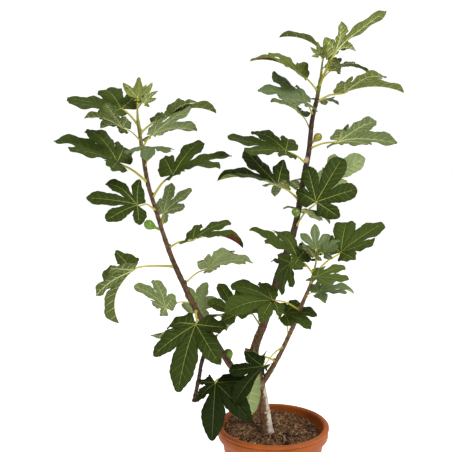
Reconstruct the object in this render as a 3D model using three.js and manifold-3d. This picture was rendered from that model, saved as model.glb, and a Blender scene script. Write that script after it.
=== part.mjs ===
// Young fig tree (Ficus carica) in a terracotta pot.
// Millimetres, +Z up, +X right, -Y front. The origin is the centre of the pot's flat underside.
// One trunk rises from the soil and divides into a left bough, a right bough and a side shoot.
// Each large leaf stands on a limb by its own stalk, and each living tip carries a tuft of young leaves.

import * as THREE from 'three';
import { mergeVertices } from 'three/addons/utils/BufferGeometryUtils.js';
import Module from 'manifold-3d';

const wasm = await Module();
wasm.setup();

// ---- driving dimensions -------------------------------------------------------------------------

const GAP = 0.3; // clearance between touching pieces

const POT_HEIGHT = 246;
const POT_RIM_RADIUS = 140;
const POT_BASE_RADIUS = 92;
const POT_WALL = 12;
const POT_FLOOR = 14;
const RIM_HEIGHT = 33; // bead and band together
const RIM_STEP = 12; // how far the band stands out from the wall below it
const RIM_TURN = 4; // rounding where the band steps out
const BEAD_RADIUS = 5.5; // rolled edge at the top of the band
const BEAD_STEP = 2; // how far the bead stands out from the band
const FOOT_CHAMFER = 3; // bevel round the underside
const LIP_DROP = 14; // how far below the band the inside starts to open
const ROUND_SIDES = 32;

const SOIL_TOP = 224; // level at the trunk's foot
const SOIL_EDGE = 219; // mean level where the soil meets the pot
const SOIL_BACK_RISE = 15; // how much higher than that it is heaped at the back
const SOIL_LEFT_RISE = 8; // and on the left
const SOIL_CROWN_RADIUS = 34; // flat top round the trunk
const SOIL_SHOULDER = 8; // width of the rounding round the flat top
const SOIL_MARGIN = 22; // nearly level band along the pot's wall
const SOIL_GAP = 0.35; // clearance from the slanting wall below the rim
const NEARLY = 0.99; // share of the soil's radius from which a point counts as its rim

const LEAF_THINNEST = 1.7;
const LEAF_SLENDERNESS = 85; // blade length over its thickness
const STALK_FOOT_RADIUS = 2.6;
const STALK_TOP_RADIUS = 1.7;
const STALK_END_RADIUS = 0.25; // inside the blade
const STALK_SINK = 0.05; // how far it runs into the blade, in blade lengths
const GROWN_LENGTH = 150; // blade length at which a stalk has these radii
const STALK_SIDES = 4;
const STALK_STEPS = 4;

// ---- repeatable variation -----------------------------------------------------------------------

function seededNumbers(seed) {
  let state = seed * 2654435761 % 4294967296;
  return () => {
    state = (state * 1664525 + 1013904223) % 4294967296;
    return state / 4294967296;
  };
}

// ---- solids -------------------------------------------------------------------------------------

function toSolid(geometry) {
  const bare = geometry.clone();
  bare.deleteAttribute('normal');
  bare.deleteAttribute('uv');
  const merged = mergeVertices(bare, 1e-4);
  return new wasm.Manifold(new wasm.Mesh({
    numProp: 3,
    vertProperties: new Float32Array(merged.attributes.position.array),
    triVerts: new Uint32Array(merged.index.array),
  }));
}

// The largest connected body, without any loose scrap that a cut leaves.
function mainBody(solid) {
  return solid.decompose().reduce((best, body) => (body.volume() > best.volume() ? body : best));
}

function toGeometry(solid) {
  const mesh = mainBody(solid).getMesh();
  const geometry = new THREE.BufferGeometry();
  geometry.setAttribute('position', new THREE.BufferAttribute(new Float32Array(mesh.vertProperties), 3));
  geometry.setIndex(new THREE.BufferAttribute(new Uint32Array(mesh.triVerts), 1));
  geometry.computeVertexNormals();
  return geometry;
}

function geometryOf(points, triangles) {
  const geometry = new THREE.BufferGeometry();
  const flat = points.flatMap((point) => point.toArray());
  geometry.setAttribute('position', new THREE.Float32BufferAttribute(flat, 3));
  geometry.setIndex(triangles.flat());
  return geometry;
}

// A closed round tube along a curve, with its radius at each fraction of the length. It may run a
// little beyond the curve's end.
function taperedTube(curve, radiusAt, steps, sides, beyond = 0) {
  const frames = curve.computeFrenetFrames(steps, false);
  const points = [];
  const triangles = [];
  for (let i = 0; i <= steps; i += 1) {
    const centre = curve.getPointAt(i / steps);
    if (i === steps) centre.addScaledVector(frames.tangents[i], beyond);
    for (let j = 0; j < sides; j += 1) {
      const angle = 2 * Math.PI * j / sides;
      const radius = radiusAt(i / steps, angle);
      points.push(centre.clone()
        .addScaledVector(frames.normals[i], radius * Math.cos(angle))
        .addScaledVector(frames.binormals[i], radius * Math.sin(angle)));
    }
  }
  for (let i = 0; i < steps; i += 1) {
    for (let j = 0; j < sides; j += 1) {
      const a = i * sides + j;
      const b = i * sides + (j + 1) % sides;
      triangles.push([a, b, b + sides], [a, b + sides, a + sides]);
    }
  }
  const foot = points.push(curve.getPointAt(0)) - 1;
  const top = points.push(curve.getPointAt(1).addScaledVector(frames.tangents[steps], beyond)) - 1;
  for (let j = 0; j < sides; j += 1) {
    const next = (j + 1) % sides;
    triangles.push([foot, next, j], [top, steps * sides + j, steps * sides + next]);
  }
  return toSolid(geometryOf(points, triangles));
}

// A unit vector from a heading (0 right, 90 back, -90 front) and a rise above level, in degrees.
function direction(heading, rise) {
  const a = THREE.MathUtils.degToRad(heading);
  const b = THREE.MathUtils.degToRad(rise);
  return new THREE.Vector3(Math.cos(a) * Math.cos(b), Math.sin(a) * Math.cos(b), Math.sin(b));
}

// ---- limbs --------------------------------------------------------------------------------------

const LIMBS = {
  trunk: {
    route: [[-12, 0, 205], [-15, 0, 226], [-19, 0, 256], [-24, 2, 295], [-29, 5, 328], [-37, 8, 368]],
    footRadius: 14.5, tipRadius: 11.5, flare: 7, steps: 9, sides: 12,
  },
  left: {
    route: [[-30, 4, 322], [-66, -6, 353], [-103, -16, 401], [-144, -24, 470], [-183, -26, 537],
      [-216, -24, 606], [-249, -18, 681], [-287, -4, 798], [-304, 2, 857], [-314, 8, 921],
      [-321, 10, 971], [-325, 12, 1005]],
    footRadius: 8.5, tipRadius: 4.2, flare: 2.5, steps: 20, sides: 7,
  },
  right: {
    route: [[-37, 8, 368], [-48, 12, 427], [-41, 14, 458], [-25, 18, 498], [-7, 26, 554],
      [10, 34, 616], [32, 40, 677], [50, 44, 737], [61, 46, 798], [73, 46, 875],
      [82, 44, 928], [88, 38, 1001], [98, 32, 1054], [105, 26, 1101]],
    footRadius: 11.6, tipRadius: 4.6, flare: 0, steps: 22, sides: 8,
  },
  side: {
    route: [[-32, 4, 346], [-9, -14, 390], [9, -30, 429], [29, -48, 481], [49, -64, 536],
      [64, -76, 584], [79, -84, 625], [88, -88, 662]],
    footRadius: 6.5, tipRadius: 3.8, flare: 1.5, steps: 13, sides: 7,
  },
  spur: {
    route: [[-144, -24, 470], [-164, -34, 451], [-176, -42, 423], [-183, -48, 385], [-190, -52, 353],
      [-195, -54, 325]],
    footRadius: 5.4, tipRadius: 4.6, flare: 0, steps: 6, sides: 7,
  },
};

// The green tips, one past the end of each living limb.
const TIPS = {
  left_tip: { past: 'left', route: [[-325, 12, 1000], [-326, 13, 1030], [-324, 14, 1056]], steps: 5 },
  right_tip: { past: 'right', route: [[105, 26, 1096], [107, 22, 1130], [110, 20, 1160]], steps: 5 },
  side_tip: { past: 'side', route: [[87, -88, 658], [91, -91, 682], [94, -92, 706]], steps: 5 },
};
const BUD_RADIUS = 1.2;
const TIP_SHARE = 0.9; // a tip's foot against the limb's end it grows from
const FLARE_FADE = 9; // how soon the flare at a limb's foot dies away

for (const tip of Object.values(TIPS)) {
  tip.footRadius = LIMBS[tip.past].tipRadius * TIP_SHARE;
  tip.tipRadius = BUD_RADIUS;
  tip.flare = 0;
  tip.sides = 6;
}

for (const limb of [...Object.values(LIMBS), ...Object.values(TIPS)]) {
  const points = limb.route.map((p) => new THREE.Vector3(...p));
  limb.curve = new THREE.CatmullRomCurve3(points, false, 'centripetal');
}

function limbRadius(limb, fraction) {
  const flare = limb.flare * Math.exp(-fraction * FLARE_FADE);
  return THREE.MathUtils.lerp(limb.footRadius, limb.tipRadius, fraction) + flare;
}

function limbSolid(limb, extra = 0) {
  const radius = (fraction) => limbRadius(limb, fraction) + extra;
  return taperedTube(limb.curve, radius, limb.steps, limb.sides, extra);
}

// The point of a limb's centre line at a height.
function limbPoint(limb, height) {
  const upward = limb.curve.getPointAt(1).z > limb.curve.getPointAt(0).z;
  let low = 0;
  let high = 1;
  for (let i = 0; i < 30; i += 1) {
    const middle = (low + high) / 2;
    if ((limb.curve.getPointAt(middle).z < height) === upward) low = middle;
    else high = middle;
  }
  return limb.curve.getPointAt(low);
}

// A sawn-off side branch at the bend low on the right bough.
const STUB = { at: 426, heading: 172, rise: 12, length: 25, radius: 8 };

function prunedStub() {
  const start = limbPoint(LIMBS.right, STUB.at);
  const end = start.clone().addScaledVector(direction(STUB.heading, STUB.rise), STUB.length);
  return taperedTube(new THREE.LineCurve3(start, end), () => STUB.radius, 2, 8);
}

// ---- leaves -------------------------------------------------------------------------------------

// Five lobes on five veins from the foot of the blade. Angles are from the middle vein, and lengths
// and half-widths are in blade lengths. An edge point is a share of the lobe's length and half-width.
const LOBES = [
  { side: 0, angle: 92, length: 0.56, width: 0.15, edge: [[0.74, 1]] },
  { side: 0, angle: 42, length: 0.86, width: 0.19, edge: [[0.64, 1], [0.9, 0.76]] },
  { side: null, angle: 0, length: 1, width: 0.205, edge: [[0.64, 1], [0.9, 0.76]] },
  { side: 1, angle: -42, length: 0.86, width: 0.19, edge: [[0.64, 1], [0.9, 0.76]] },
  { side: 1, angle: -92, length: 0.56, width: 0.15, edge: [[0.74, 1]] },
];
const VEIN_NEAR = 0.42; // where a lobe's facets meet its vein, as shares of its length
const VEIN_FAR = 0.76;
const NOTCH_DEPTH = 0.42; // how far the notches between lobes lie from the blade's foot
const FULL_PAIR = 1.84; // summed length of two neighbour lobes at which a notch is that deep
const NOTCH_LIMIT = 0.66; // farthest notch from the foot, as a share of the shorter lobe beside it
const SECTOR_SHARE = 0.94; // how much of the way to its neighbour's sector a lobe may widen
const YOUNG_LENGTH = 80; // below this a lobe is a plain lozenge
const YOUNG_EDGE = [0.68, 1];
const HEEL_ANGLE = 150;
const HEEL_LENGTH = 0.22;
const ANGLE_SPREAD = 0.08;
const LENGTH_SPREAD = 0.14;

// The flat blade: points as [along, across] and the triangles of its upper side.
function bladeOutline(leaf, random) {
  const polar = (angle, radius, aside = 0) => {
    const a = THREE.MathUtils.degToRad(angle);
    return [
      (radius * Math.cos(a) - aside * Math.sin(a)) * leaf.length,
      (radius * Math.sin(a) + aside * Math.cos(a)) * leaf.length,
    ];
  };
  const lobes = LOBES.map((lobe) => {
    const angle = lobe.angle * (1 + ANGLE_SPREAD * (random() - 0.5));
    const share = lobe.side === null ? 1 : leaf.sides[lobe.side];
    let length = lobe.length * share;
    if (lobe.side !== null) length *= 1 + LENGTH_SPREAD * (random() - 0.5);
    const edge = leaf.length < YOUNG_LENGTH ? [YOUNG_EDGE] : lobe.edge;
    return { angle, length, edge, width: lobe.width * share / Math.sqrt(leaf.cut) };
  });
  const points = [[0, 0]];
  const add = (point) => points.push(point) - 1;
  const bounds = [HEEL_ANGLE];
  const notches = [add(polar(HEEL_ANGLE, HEEL_LENGTH))];
  for (let i = 0; i < lobes.length - 1; i += 1) {
    const [one, two] = [lobes[i], lobes[i + 1]];
    const depth = NOTCH_DEPTH / leaf.cut * (one.length + two.length) / FULL_PAIR;
    const deepest = NOTCH_LIMIT * Math.min(one.length, two.length);
    bounds.push((one.angle + two.angle) / 2);
    notches.push(add(polar(bounds[i + 1], Math.min(depth, deepest))));
  }
  bounds.push(-HEEL_ANGLE);
  notches.push(add(polar(-HEEL_ANGLE, HEEL_LENGTH)));
  const triangles = [];
  lobes.forEach((lobe, i) => {
    const near = add(polar(lobe.angle, lobe.length * VEIN_NEAR));
    const far = lobe.edge.length > 1 ? add(polar(lobe.angle, lobe.length * VEIN_FAR)) : near;
    const tip = add(polar(lobe.angle, lobe.length));
    for (const side of [1, -1]) {
      const notch = notches[side > 0 ? i : i + 1];
      const sector = Math.abs(bounds[side > 0 ? i : i + 1] - lobe.angle) * SECTOR_SHARE;
      const widest = Math.tan(THREE.MathUtils.degToRad(sector)) * lobe.length;
      const edge = lobe.edge.map(([along, share]) => (
        add(polar(lobe.angle, lobe.length * along, side * Math.min(lobe.width * share, widest * along)))
      ));
      const fan = [[0, near, notch], [near, edge[0], notch], [far, tip, edge.at(-1)]];
      if (edge.length > 1) fan.push([near, far, edge[0]], [far, edge[1], edge[0]]);
      triangles.push(...fan.map(([p, q, r]) => (side > 0 ? [p, q, r] : [p, r, q])));
    }
  });
  return { points, triangles };
}

// Where the flat blade's point comes to lie: bent down along the blade, folded up along its middle.
function bladeFrame(leaf, foot) {
  const ahead = direction(...leaf.blade.slice(0, 2));
  const lean = THREE.MathUtils.degToRad(leaf.lean);
  const looking = new THREE.Vector3(0, -Math.sin(lean), Math.cos(lean));
  const up = looking.addScaledVector(ahead, -looking.dot(ahead)).normalize();
  const left = new THREE.Vector3().crossVectors(up, ahead);
  const droop = THREE.MathUtils.degToRad(leaf.droop);
  const length = leaf.length;
  return ([along, across], lift) => {
    const turn = droop * (0.5 - along / length);
    const reach = length * (Math.sin(droop / 2) - Math.sin(turn)) / droop;
    const drop = length * (Math.cos(turn) - Math.cos(droop / 2)) / droop;
    const height = drop + leaf.fold * Math.abs(across) - leaf.sag * across * across / length;
    return foot.clone()
      .addScaledVector(ahead, reach + lift * Math.sin(-turn))
      .addScaledVector(left, across)
      .addScaledVector(up, height + lift * Math.cos(turn));
  };
}

function bladeSolid(leaf, foot, random) {
  const place = bladeFrame(leaf, foot);
  const { points, triangles } = bladeOutline(leaf, random);
  const half = Math.max(LEAF_THINNEST, leaf.length / LEAF_SLENDERNESS) / 2;
  const count = points.length;
  const vertices = [...points.map((p) => place(p, half)), ...points.map((p) => place(p, -half))];
  const faces = [];
  const edges = new Map();
  for (const [a, b, c] of triangles) {
    faces.push([a, b, c], [a + count, c + count, b + count]);
    for (const [from, to] of [[a, b], [b, c], [c, a]]) {
      if (!edges.delete(`${to},${from}`)) edges.set(`${from},${to}`, [from, to]);
    }
  }
  for (const [from, to] of edges.values()) {
    faces.push([from, from + count, to + count], [from, to + count, to]);
  }
  return toSolid(geometryOf(vertices, faces));
}

function stalkSolid(leaf, start, foot) {
  const along = bladeFrame(leaf, foot);
  const middle = start.clone().lerp(foot, 0.5);
  middle.z += leaf.arch;
  const curve = new THREE.CatmullRomCurve3([
    start,
    middle,
    along([-STALK_SINK * leaf.length, 0], 0),
    along([STALK_SINK * leaf.length, 0], 0),
  ]);
  const scale = THREE.MathUtils.clamp(leaf.length / GROWN_LENGTH, 0.6, 1.1);
  const radius = (fraction) => {
    if (fraction === 1) return STALK_END_RADIUS;
    return scale * THREE.MathUtils.lerp(STALK_FOOT_RADIUS, STALK_TOP_RADIUS, fraction);
  };
  return taperedTube(curve, radius, STALK_STEPS, STALK_SIDES);
}

// Figs stand on a limb: where, which way they point, and how thick they are.
const FIGS = [
  { on: 'left', at: 742, heading: 176, rise: 24, girth: 24 },
  { on: 'left', at: 403, heading: 165, rise: 76, girth: 23 },
  { on: 'left', at: 575, heading: -10, rise: 30, girth: 9 },
  { on: 'right', at: 939, heading: 14, rise: 44, girth: 20 },
  { on: 'right', at: 760, heading: -100, rise: 42, girth: 21 },
  { on: 'right_tip', at: 1122, heading: 0, rise: 30, girth: 11 },
];
const FIG_LENGTH = 2; // girths, neck and body together
const FIG_NECK = 0.36; // share of that length
const FIG_NECK_RADIUS = 0.13; // girths

function figSolid(fig, start) {
  const end = start.clone().addScaledVector(direction(fig.heading, fig.rise), fig.girth * FIG_LENGTH);
  const radius = (fraction) => {
    const body = Math.max(0, (fraction - FIG_NECK) / (1 - FIG_NECK));
    const swell = Math.sin(Math.PI * body ** 1.25) ** 0.8;
    return fig.girth * THREE.MathUtils.lerp(FIG_NECK_RADIUS, 0.5, swell);
  };
  return taperedTube(new THREE.LineCurve3(start, end), radius, 7, 6);
}

// Each leaf: its height on the limb, its stalk's and its blade's heading, rise and length, and how
// far its upper side leans from the sky to the front. A fold is the rise of each half beside the
// middle vein, a droop the bend along the blade, and sides the share of full length of the lobes on
// its two sides.
const LEAVES = [
  { on: 'left', at: 990, stalk: [165, 42, 58], blade: [152, 1, 150], lean: 14, fold: 0.25 },
  { on: 'left', at: 971, stalk: [28, 27, 72], blade: [24, 13, 138], lean: -14, sides: [0.9, 0.8] },
  {
    on: 'left', at: 954, stalk: [-114, 26, 95], blade: [-176, 20, 92],
    lean: -28, fold: 0.25, sides: [0.9, 0.85],
  },
  {
    on: 'left', at: 935, stalk: [60, 34, 54], blade: [30, 5, 122],
    lean: -35, fold: 0.3, sides: [0.75, 1],
  },
  { on: 'left', at: 889, stalk: [-60, 55, 68], blade: [-95, -10, 90], lean: 0, fold: 0.1 },
  { on: 'left', at: 857, stalk: [-158, 36, 90], blade: [178, 18, 158], lean: 12, fold: 0.35 },
  { on: 'left', at: 819, stalk: [25, 44, 76], blade: [12, 14, 150], lean: 8, fold: 0.42 },
  {
    on: 'left', at: 789, stalk: [-128, 20, 70], blade: [-165, 8, 120],
    lean: 38, fold: 0.25, cut: 1.4,
  },
  { on: 'left', at: 743, stalk: [88, 38, 54], blade: [20, 32, 90], lean: -45, fold: 0.35 },
  { on: 'left', at: 700, stalk: [-30, 22, 75], blade: [-12, 4, 128], lean: 4, fold: 0.4, droop: 36 },
  {
    on: 'left', at: 656, stalk: [-170, -2, 100], blade: [180, -66, 150],
    lean: 0, fold: 0.85, droop: 50, sides: [0.85, 0.85],
  },
  { on: 'left', at: 612, stalk: [36, 22, 82], blade: [-10, 14, 112], lean: -30, fold: 0.3, cut: 0.85 },
  {
    on: 'left', at: 567, stalk: [-160, -4, 68], blade: [172, 36, 95],
    lean: -50, fold: 0.1, sides: [1, 0.6],
  },
  { on: 'left', at: 534, stalk: [100, 5, 40], blade: [50, 60, 75], lean: -50, fold: 0.1, cut: 0.8 },
  {
    on: 'left', at: 550, stalk: [-90, -35, 45], blade: [-111, -52, 172],
    lean: 0, fold: 0.15, cut: 0.82, sides: [0.86, 0.8],
  },
  { on: 'left', at: 473, stalk: [-5, 52, 84], blade: [140, 50, 86], lean: 20, fold: 0.2 },
  {
    on: 'left', at: 379, stalk: [-131, 2, 84], blade: [-94, -48, 146],
    lean: 0, fold: 0.2, cut: 0.9, sides: [1, 0.5],
  },
  {
    on: 'right', at: 1078, stalk: [-61, 53, 104], blade: [0, 33, 145],
    lean: -24, fold: 0.25, droop: 42, sides: [0.45, 0.6],
  },
  {
    on: 'right', at: 1089, stalk: [53, 36, 72], blade: [175, 35, 152],
    lean: -8, fold: 0.25, sides: [0.5, 1],
  },
  {
    on: 'right', at: 1092, stalk: [-31, 38, 55], blade: [-10, -4, 80],
    lean: -14, fold: 0.2, sides: [0.5, 0.8],
  },
  { on: 'right', at: 1068, stalk: [-155, 40, 70], blade: [172, 18, 122], lean: 5, fold: 0.25 },
  { on: 'right', at: 1044, stalk: [-19, 20, 73], blade: [-4, 2, 142], lean: -12, fold: 0.45 },
  { on: 'right', at: 1011, stalk: [-120, 40, 60], blade: [-165, 12, 120], lean: 22, fold: 0.18 },
  { on: 'right', at: 974, stalk: [125, 40, 65], blade: [142, 12, 86], lean: -30 },
  {
    on: 'right', at: 932, stalk: [-19, 16, 76], blade: [0, -6, 138],
    lean: -35, fold: 0.35, droop: 45, sides: [1, 0.8],
  },
  { on: 'right', at: 895, stalk: [-150, 30, 70], blade: [175, 8, 140], lean: 15, fold: 0.3 },
  { on: 'right', at: 830, stalk: [120, 15, 55], blade: [118, -25, 88], lean: 0, fold: 0.2 },
  { on: 'right', at: 803, stalk: [-155, 35, 75], blade: [178, 12, 148], lean: 8 },
  {
    on: 'right', at: 776, stalk: [45, 30, 118], blade: [25, 28, 125],
    lean: -68, fold: 0.1, cut: 0.8, sides: [0.75, 0.7],
  },
  {
    on: 'right', at: 733, stalk: [-40, 50, 100], blade: [30, 54, 128],
    lean: 60, fold: 0.08, cut: 1.1, sides: [0.85, 0.95],
  },
  { on: 'right', at: 658, stalk: [-75, 5, 50], blade: [-155, -72, 82], lean: 0, fold: 0.2 },
  { on: 'side', at: 655, stalk: [-150, 43, 62], blade: [166, 28, 130], lean: 2 },
  {
    on: 'side', at: 648, stalk: [10, 40, 88], blade: [30, 22, 132],
    lean: 12, fold: 0.25, cut: 0.8, sides: [1, 0.75],
  },
  { on: 'side', at: 628, stalk: [-80, 32, 62], blade: [-30, -2, 80], lean: 20 },
  { on: 'side', at: 597, stalk: [-45, 25, 45], blade: [8, 6, 88], lean: 10 },
  {
    on: 'side', at: 562, stalk: [-150, 25, 85], blade: [-155, -2, 122],
    lean: 36, fold: 0.15, cut: 0.75, sides: [0.65, 1],
  },
  { on: 'side', at: 489, stalk: [-108, 64, 74], blade: [16, -2, 85], lean: 24, fold: 0.15, cut: 0.8 },
  {
    on: 'side', at: 464, stalk: [-136, -25, 80], blade: [-150, -42, 112],
    lean: 20, fold: 0.2, sides: [0.2, 0.9],
  },
  {
    on: 'side', at: 419, stalk: [-158, 14, 49], blade: [-166, -78, 146],
    lean: -90, fold: 0.05, droop: 8, cut: 1.5, sides: [0.2, 0.2],
  },
  { on: 'left', at: 508, stalk: [150, -10, 60], blade: [130, -42, 108], lean: 0, fold: 0.2 },
  { on: 'right', at: 1020, stalk: [50, 45, 40], blade: [75, -20, 60], lean: 0, fold: 0.2 },
  { on: 'right', at: 742, stalk: [70, 30, 60], blade: [50, -30, 92], lean: 0, fold: 0.2 },
  { on: 'right', at: 600, stalk: [40, 50, 60], blade: [55, -10, 90], lean: 0, fold: 0.2 },
  { on: 'right', at: 488, stalk: [120, 25, 60], blade: [125, -25, 130], lean: 0, fold: 0.2 },
  {
    on: 'left_tip', at: 1040, stalk: [70, 62, 12], blade: [-80, 70, 64],
    lean: 0, fold: 0.2, cut: 0.8,
  },
  { on: 'left_tip', at: 1034, stalk: [20, 30, 22], blade: [15, 42, 42], lean: -40, fold: 0.2 },
  { on: 'left_tip', at: 1048, stalk: [100, 55, 16], blade: [100, 40, 40], lean: 0, fold: 0.2 },
  { on: 'right_tip', at: 1150, stalk: [20, 60, 14], blade: [10, 60, 34], lean: -40, fold: 0.2 },
  { on: 'right_tip', at: 1144, stalk: [-150, 50, 14], blade: [-120, 66, 34], lean: -20, fold: 0.2 },
  { on: 'right_tip', at: 1138, stalk: [-60, 40, 20], blade: [-40, 40, 38], lean: -30, fold: 0.2 },
  { on: 'side_tip', at: 700, stalk: [100, 50, 20], blade: [90, 50, 60], lean: 0, fold: 0.2 },
  { on: 'side_tip', at: 692, stalk: [-20, 40, 24], blade: [20, 40, 52], lean: 10, fold: 0.2 },
  { on: 'side_tip', at: 688, stalk: [-120, 45, 20], blade: [-135, 45, 52], lean: 10, fold: 0.2 },
];

function prepareLeaf(leaf, index) {
  const random = seededNumbers(index + 11);
  const number = LEAVES.slice(0, index + 1).filter((other) => other.on === leaf.on).length;
  return {
    ...leaf,
    name: `${leaf.on}_leaf_${String(number).padStart(2, '0')}`,
    length: leaf.blade[2],
    droop: leaf.droop ?? 18 + 22 * random(),
    fold: leaf.fold ?? 0.38 + 0.14 * random(),
    sag: leaf.sag ?? 0.1 + 0.2 * random(),
    arch: leaf.arch ?? 4 + 5 * random(),
    cut: leaf.cut ?? 0.9 + 0.35 * random(),
    sides: leaf.sides ?? [1, 1],
    random,
  };
}

function leafSolid(leaf, start) {
  const foot = start.clone().addScaledVector(direction(leaf.stalk[0], leaf.stalk[1]), leaf.stalk[2]);
  return bladeSolid(leaf, foot, leaf.random).add(stalkSolid(leaf, start, foot));
}

// ---- pot and soil -------------------------------------------------------------------------------

const wallRadius = (height) => THREE.MathUtils.lerp(
  POT_BASE_RADIUS, POT_RIM_RADIUS - RIM_STEP, height / (POT_HEIGHT - RIM_HEIGHT),
);
const innerRadius = (height) => wallRadius(height) - POT_WALL;

function turned(profile) {
  const points = profile.map((point) => new THREE.Vector2(...point));
  return new THREE.LatheGeometry(points, ROUND_SIDES).rotateX(Math.PI / 2);
}

const BEAD_STEPS = 4;
const BEAD_START = 0.35; // half turns below level at which the bead leaves the band
const shoulder = POT_HEIGHT - RIM_HEIGHT;
const lip = shoulder - LIP_DROP;
const beadCentre = POT_HEIGHT - BEAD_RADIUS;

function beadPoint(step) {
  const angle = Math.PI * (step / BEAD_STEPS - BEAD_START);
  return [
    POT_RIM_RADIUS - BEAD_RADIUS + BEAD_RADIUS * Math.cos(angle),
    beadCentre + BEAD_RADIUS * Math.sin(angle),
  ];
}

// Above the lip the inside slants out to the bead.
function slantRadius(height) {
  const [radius, top] = beadPoint(BEAD_STEPS);
  return THREE.MathUtils.lerp(innerRadius(lip), radius, (height - lip) / (top - lip));
}

function potGeometry() {
  const bandRadius = POT_RIM_RADIUS - BEAD_STEP;
  const profile = [
    [0, 0],
    [POT_BASE_RADIUS - FOOT_CHAMFER, 0],
    [POT_BASE_RADIUS, FOOT_CHAMFER],
    [wallRadius(shoulder), shoulder],
    [bandRadius - RIM_TURN / 2, shoulder + RIM_TURN / 2],
    [bandRadius, shoulder + 1.5 * RIM_TURN],
    [bandRadius, beadCentre - 1.2 * BEAD_RADIUS],
  ];
  for (let i = 0; i <= BEAD_STEPS; i += 1) profile.push(beadPoint(i));
  profile.push([innerRadius(lip), lip], [innerRadius(POT_FLOOR), POT_FLOOR], [0, POT_FLOOR]);
  return turned(profile);
}

function soilGeometry() {
  const seat = POT_FLOOR + GAP;
  const top = SOIL_TOP - GAP;
  const edge = slantRadius(SOIL_EDGE) - SOIL_GAP;
  const rise = top - SOIL_EDGE;
  const profile = [
    [0, seat],
    [innerRadius(seat) - GAP, seat],
    [innerRadius(lip) - SOIL_GAP, lip],
    [edge, SOIL_EDGE],
    [edge - SOIL_MARGIN, SOIL_EDGE + rise * 0.15],
    [(edge + SOIL_CROWN_RADIUS) / 2, SOIL_EDGE + rise * 0.5],
    [SOIL_CROWN_RADIUS + SOIL_SHOULDER, SOIL_EDGE + rise * 0.82],
    [SOIL_CROWN_RADIUS, top],
    [0, top],
  ];
  const soil = turned(profile);
  const position = soil.attributes.position;
  for (let i = 0; i < position.count; i += 1) {
    const [x, y, z] = [position.getX(i), position.getY(i), position.getZ(i)];
    const radius = Math.hypot(x, y);
    const out = (radius - SOIL_CROWN_RADIUS) / (edge - SOIL_CROWN_RADIUS);
    if (z < (lip + SOIL_EDGE) / 2 || out <= 0) continue;
    // the top tilts more the farther out it lies, and its rim follows the slanting wall
    const level = z + out * (SOIL_BACK_RISE * y - SOIL_LEFT_RISE * x) / radius;
    const stretch = out > NEARLY ? (slantRadius(level) - SOIL_GAP) / radius : 1;
    position.setXYZ(i, x * stretch, y * stretch, level);
  }
  soil.computeVertexNormals();
  return soil;
}

// ---- assembly -----------------------------------------------------------------------------------

const material = (color, roughness) => new THREE.MeshStandardMaterial({ color, roughness, metalness: 0 });
const bark = material(0x6f5946, 0.85);
const leafGreen = material(0x3f5f2c, 0.55);
const terracotta = material(0xb5571f, 0.6);
const peat = material(0x3b2a1f, 0.95);

const tree = new THREE.Group();
const planter = new THREE.Group();

function place(group, name, geometry, finish) {
  const mesh = new THREE.Mesh(geometry, finish);
  mesh.name = name;
  group.add(mesh);
}

place(planter, 'pot', potGeometry(), terracotta);
place(planter, 'soil', soilGeometry(), peat);

const allLimbs = { ...LIMBS, ...TIPS };
const whole = {};
const cutters = {};
for (const [name, limb] of Object.entries(allLimbs)) {
  whole[name] = limbSolid(limb);
  cutters[name] = limbSolid(limb, GAP);
}

const belowSoil = new THREE.BoxGeometry(200, 200, 100).translate(0, 0, SOIL_TOP - 50);
whole.trunk = whole.trunk.subtract(toSolid(belowSoil));
whole.left = whole.left.subtract(cutters.trunk);
whole.right = whole.right.subtract(cutters.trunk).add(prunedStub());
whole.side = whole.side.subtract(cutters.trunk).subtract(cutters.right);
whole.spur = whole.spur.subtract(cutters.left);
for (const [name, tip] of Object.entries(TIPS)) {
  whole[name] = whole[name].subtract(cutters[tip.past]);
}
for (const fig of FIGS) {
  whole[fig.on] = whole[fig.on].add(figSolid(fig, limbPoint(allLimbs[fig.on], fig.at)));
}

const leafSolids = {};
for (const leaf of LEAVES.map(prepareLeaf)) {
  const solid = leafSolid(leaf, limbPoint(allLimbs[leaf.on], leaf.at));
  if (leaf.on in TIPS) whole[leaf.on] = whole[leaf.on].add(solid);
  else leafSolids[leaf.name] = solid.subtract(cutters[leaf.on]);
}

place(tree, 'trunk', toGeometry(whole.trunk), bark);
place(tree, 'left_bough', toGeometry(whole.left), bark);
place(tree, 'right_bough', toGeometry(whole.right), bark);
place(tree, 'side_shoot', toGeometry(whole.side), bark);
place(tree, 'dead_spur', toGeometry(whole.spur), bark);
for (const name of Object.keys(TIPS)) {
  place(tree, `${name}_tuft`, toGeometry(whole[name]), leafGreen);
}
for (const [name, solid] of Object.entries(leafSolids)) {
  place(tree, name, toGeometry(solid), leafGreen);
}

const figTree = new THREE.Group();
figTree.add(planter, tree);

export default figTree;
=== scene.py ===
# Young fig tree in a terracotta pot: bark, lobed leaves on long stalks, figs, soil and pot.
import math
import bpy
import numpy as np
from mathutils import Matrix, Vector, kdtree, noise


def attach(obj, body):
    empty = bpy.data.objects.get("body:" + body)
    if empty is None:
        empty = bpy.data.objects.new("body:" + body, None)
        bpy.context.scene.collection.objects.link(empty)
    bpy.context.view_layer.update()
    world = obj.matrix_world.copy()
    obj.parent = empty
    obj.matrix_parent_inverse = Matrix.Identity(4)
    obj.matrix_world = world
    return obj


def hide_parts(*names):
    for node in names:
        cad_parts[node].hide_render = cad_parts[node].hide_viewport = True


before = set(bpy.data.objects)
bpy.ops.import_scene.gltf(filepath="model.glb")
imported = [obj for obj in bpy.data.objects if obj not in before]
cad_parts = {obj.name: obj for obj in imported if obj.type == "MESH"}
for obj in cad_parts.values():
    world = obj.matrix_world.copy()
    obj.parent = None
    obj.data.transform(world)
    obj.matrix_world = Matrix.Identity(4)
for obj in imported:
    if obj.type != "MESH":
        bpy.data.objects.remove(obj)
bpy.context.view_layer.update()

scene = bpy.context.scene
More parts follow.
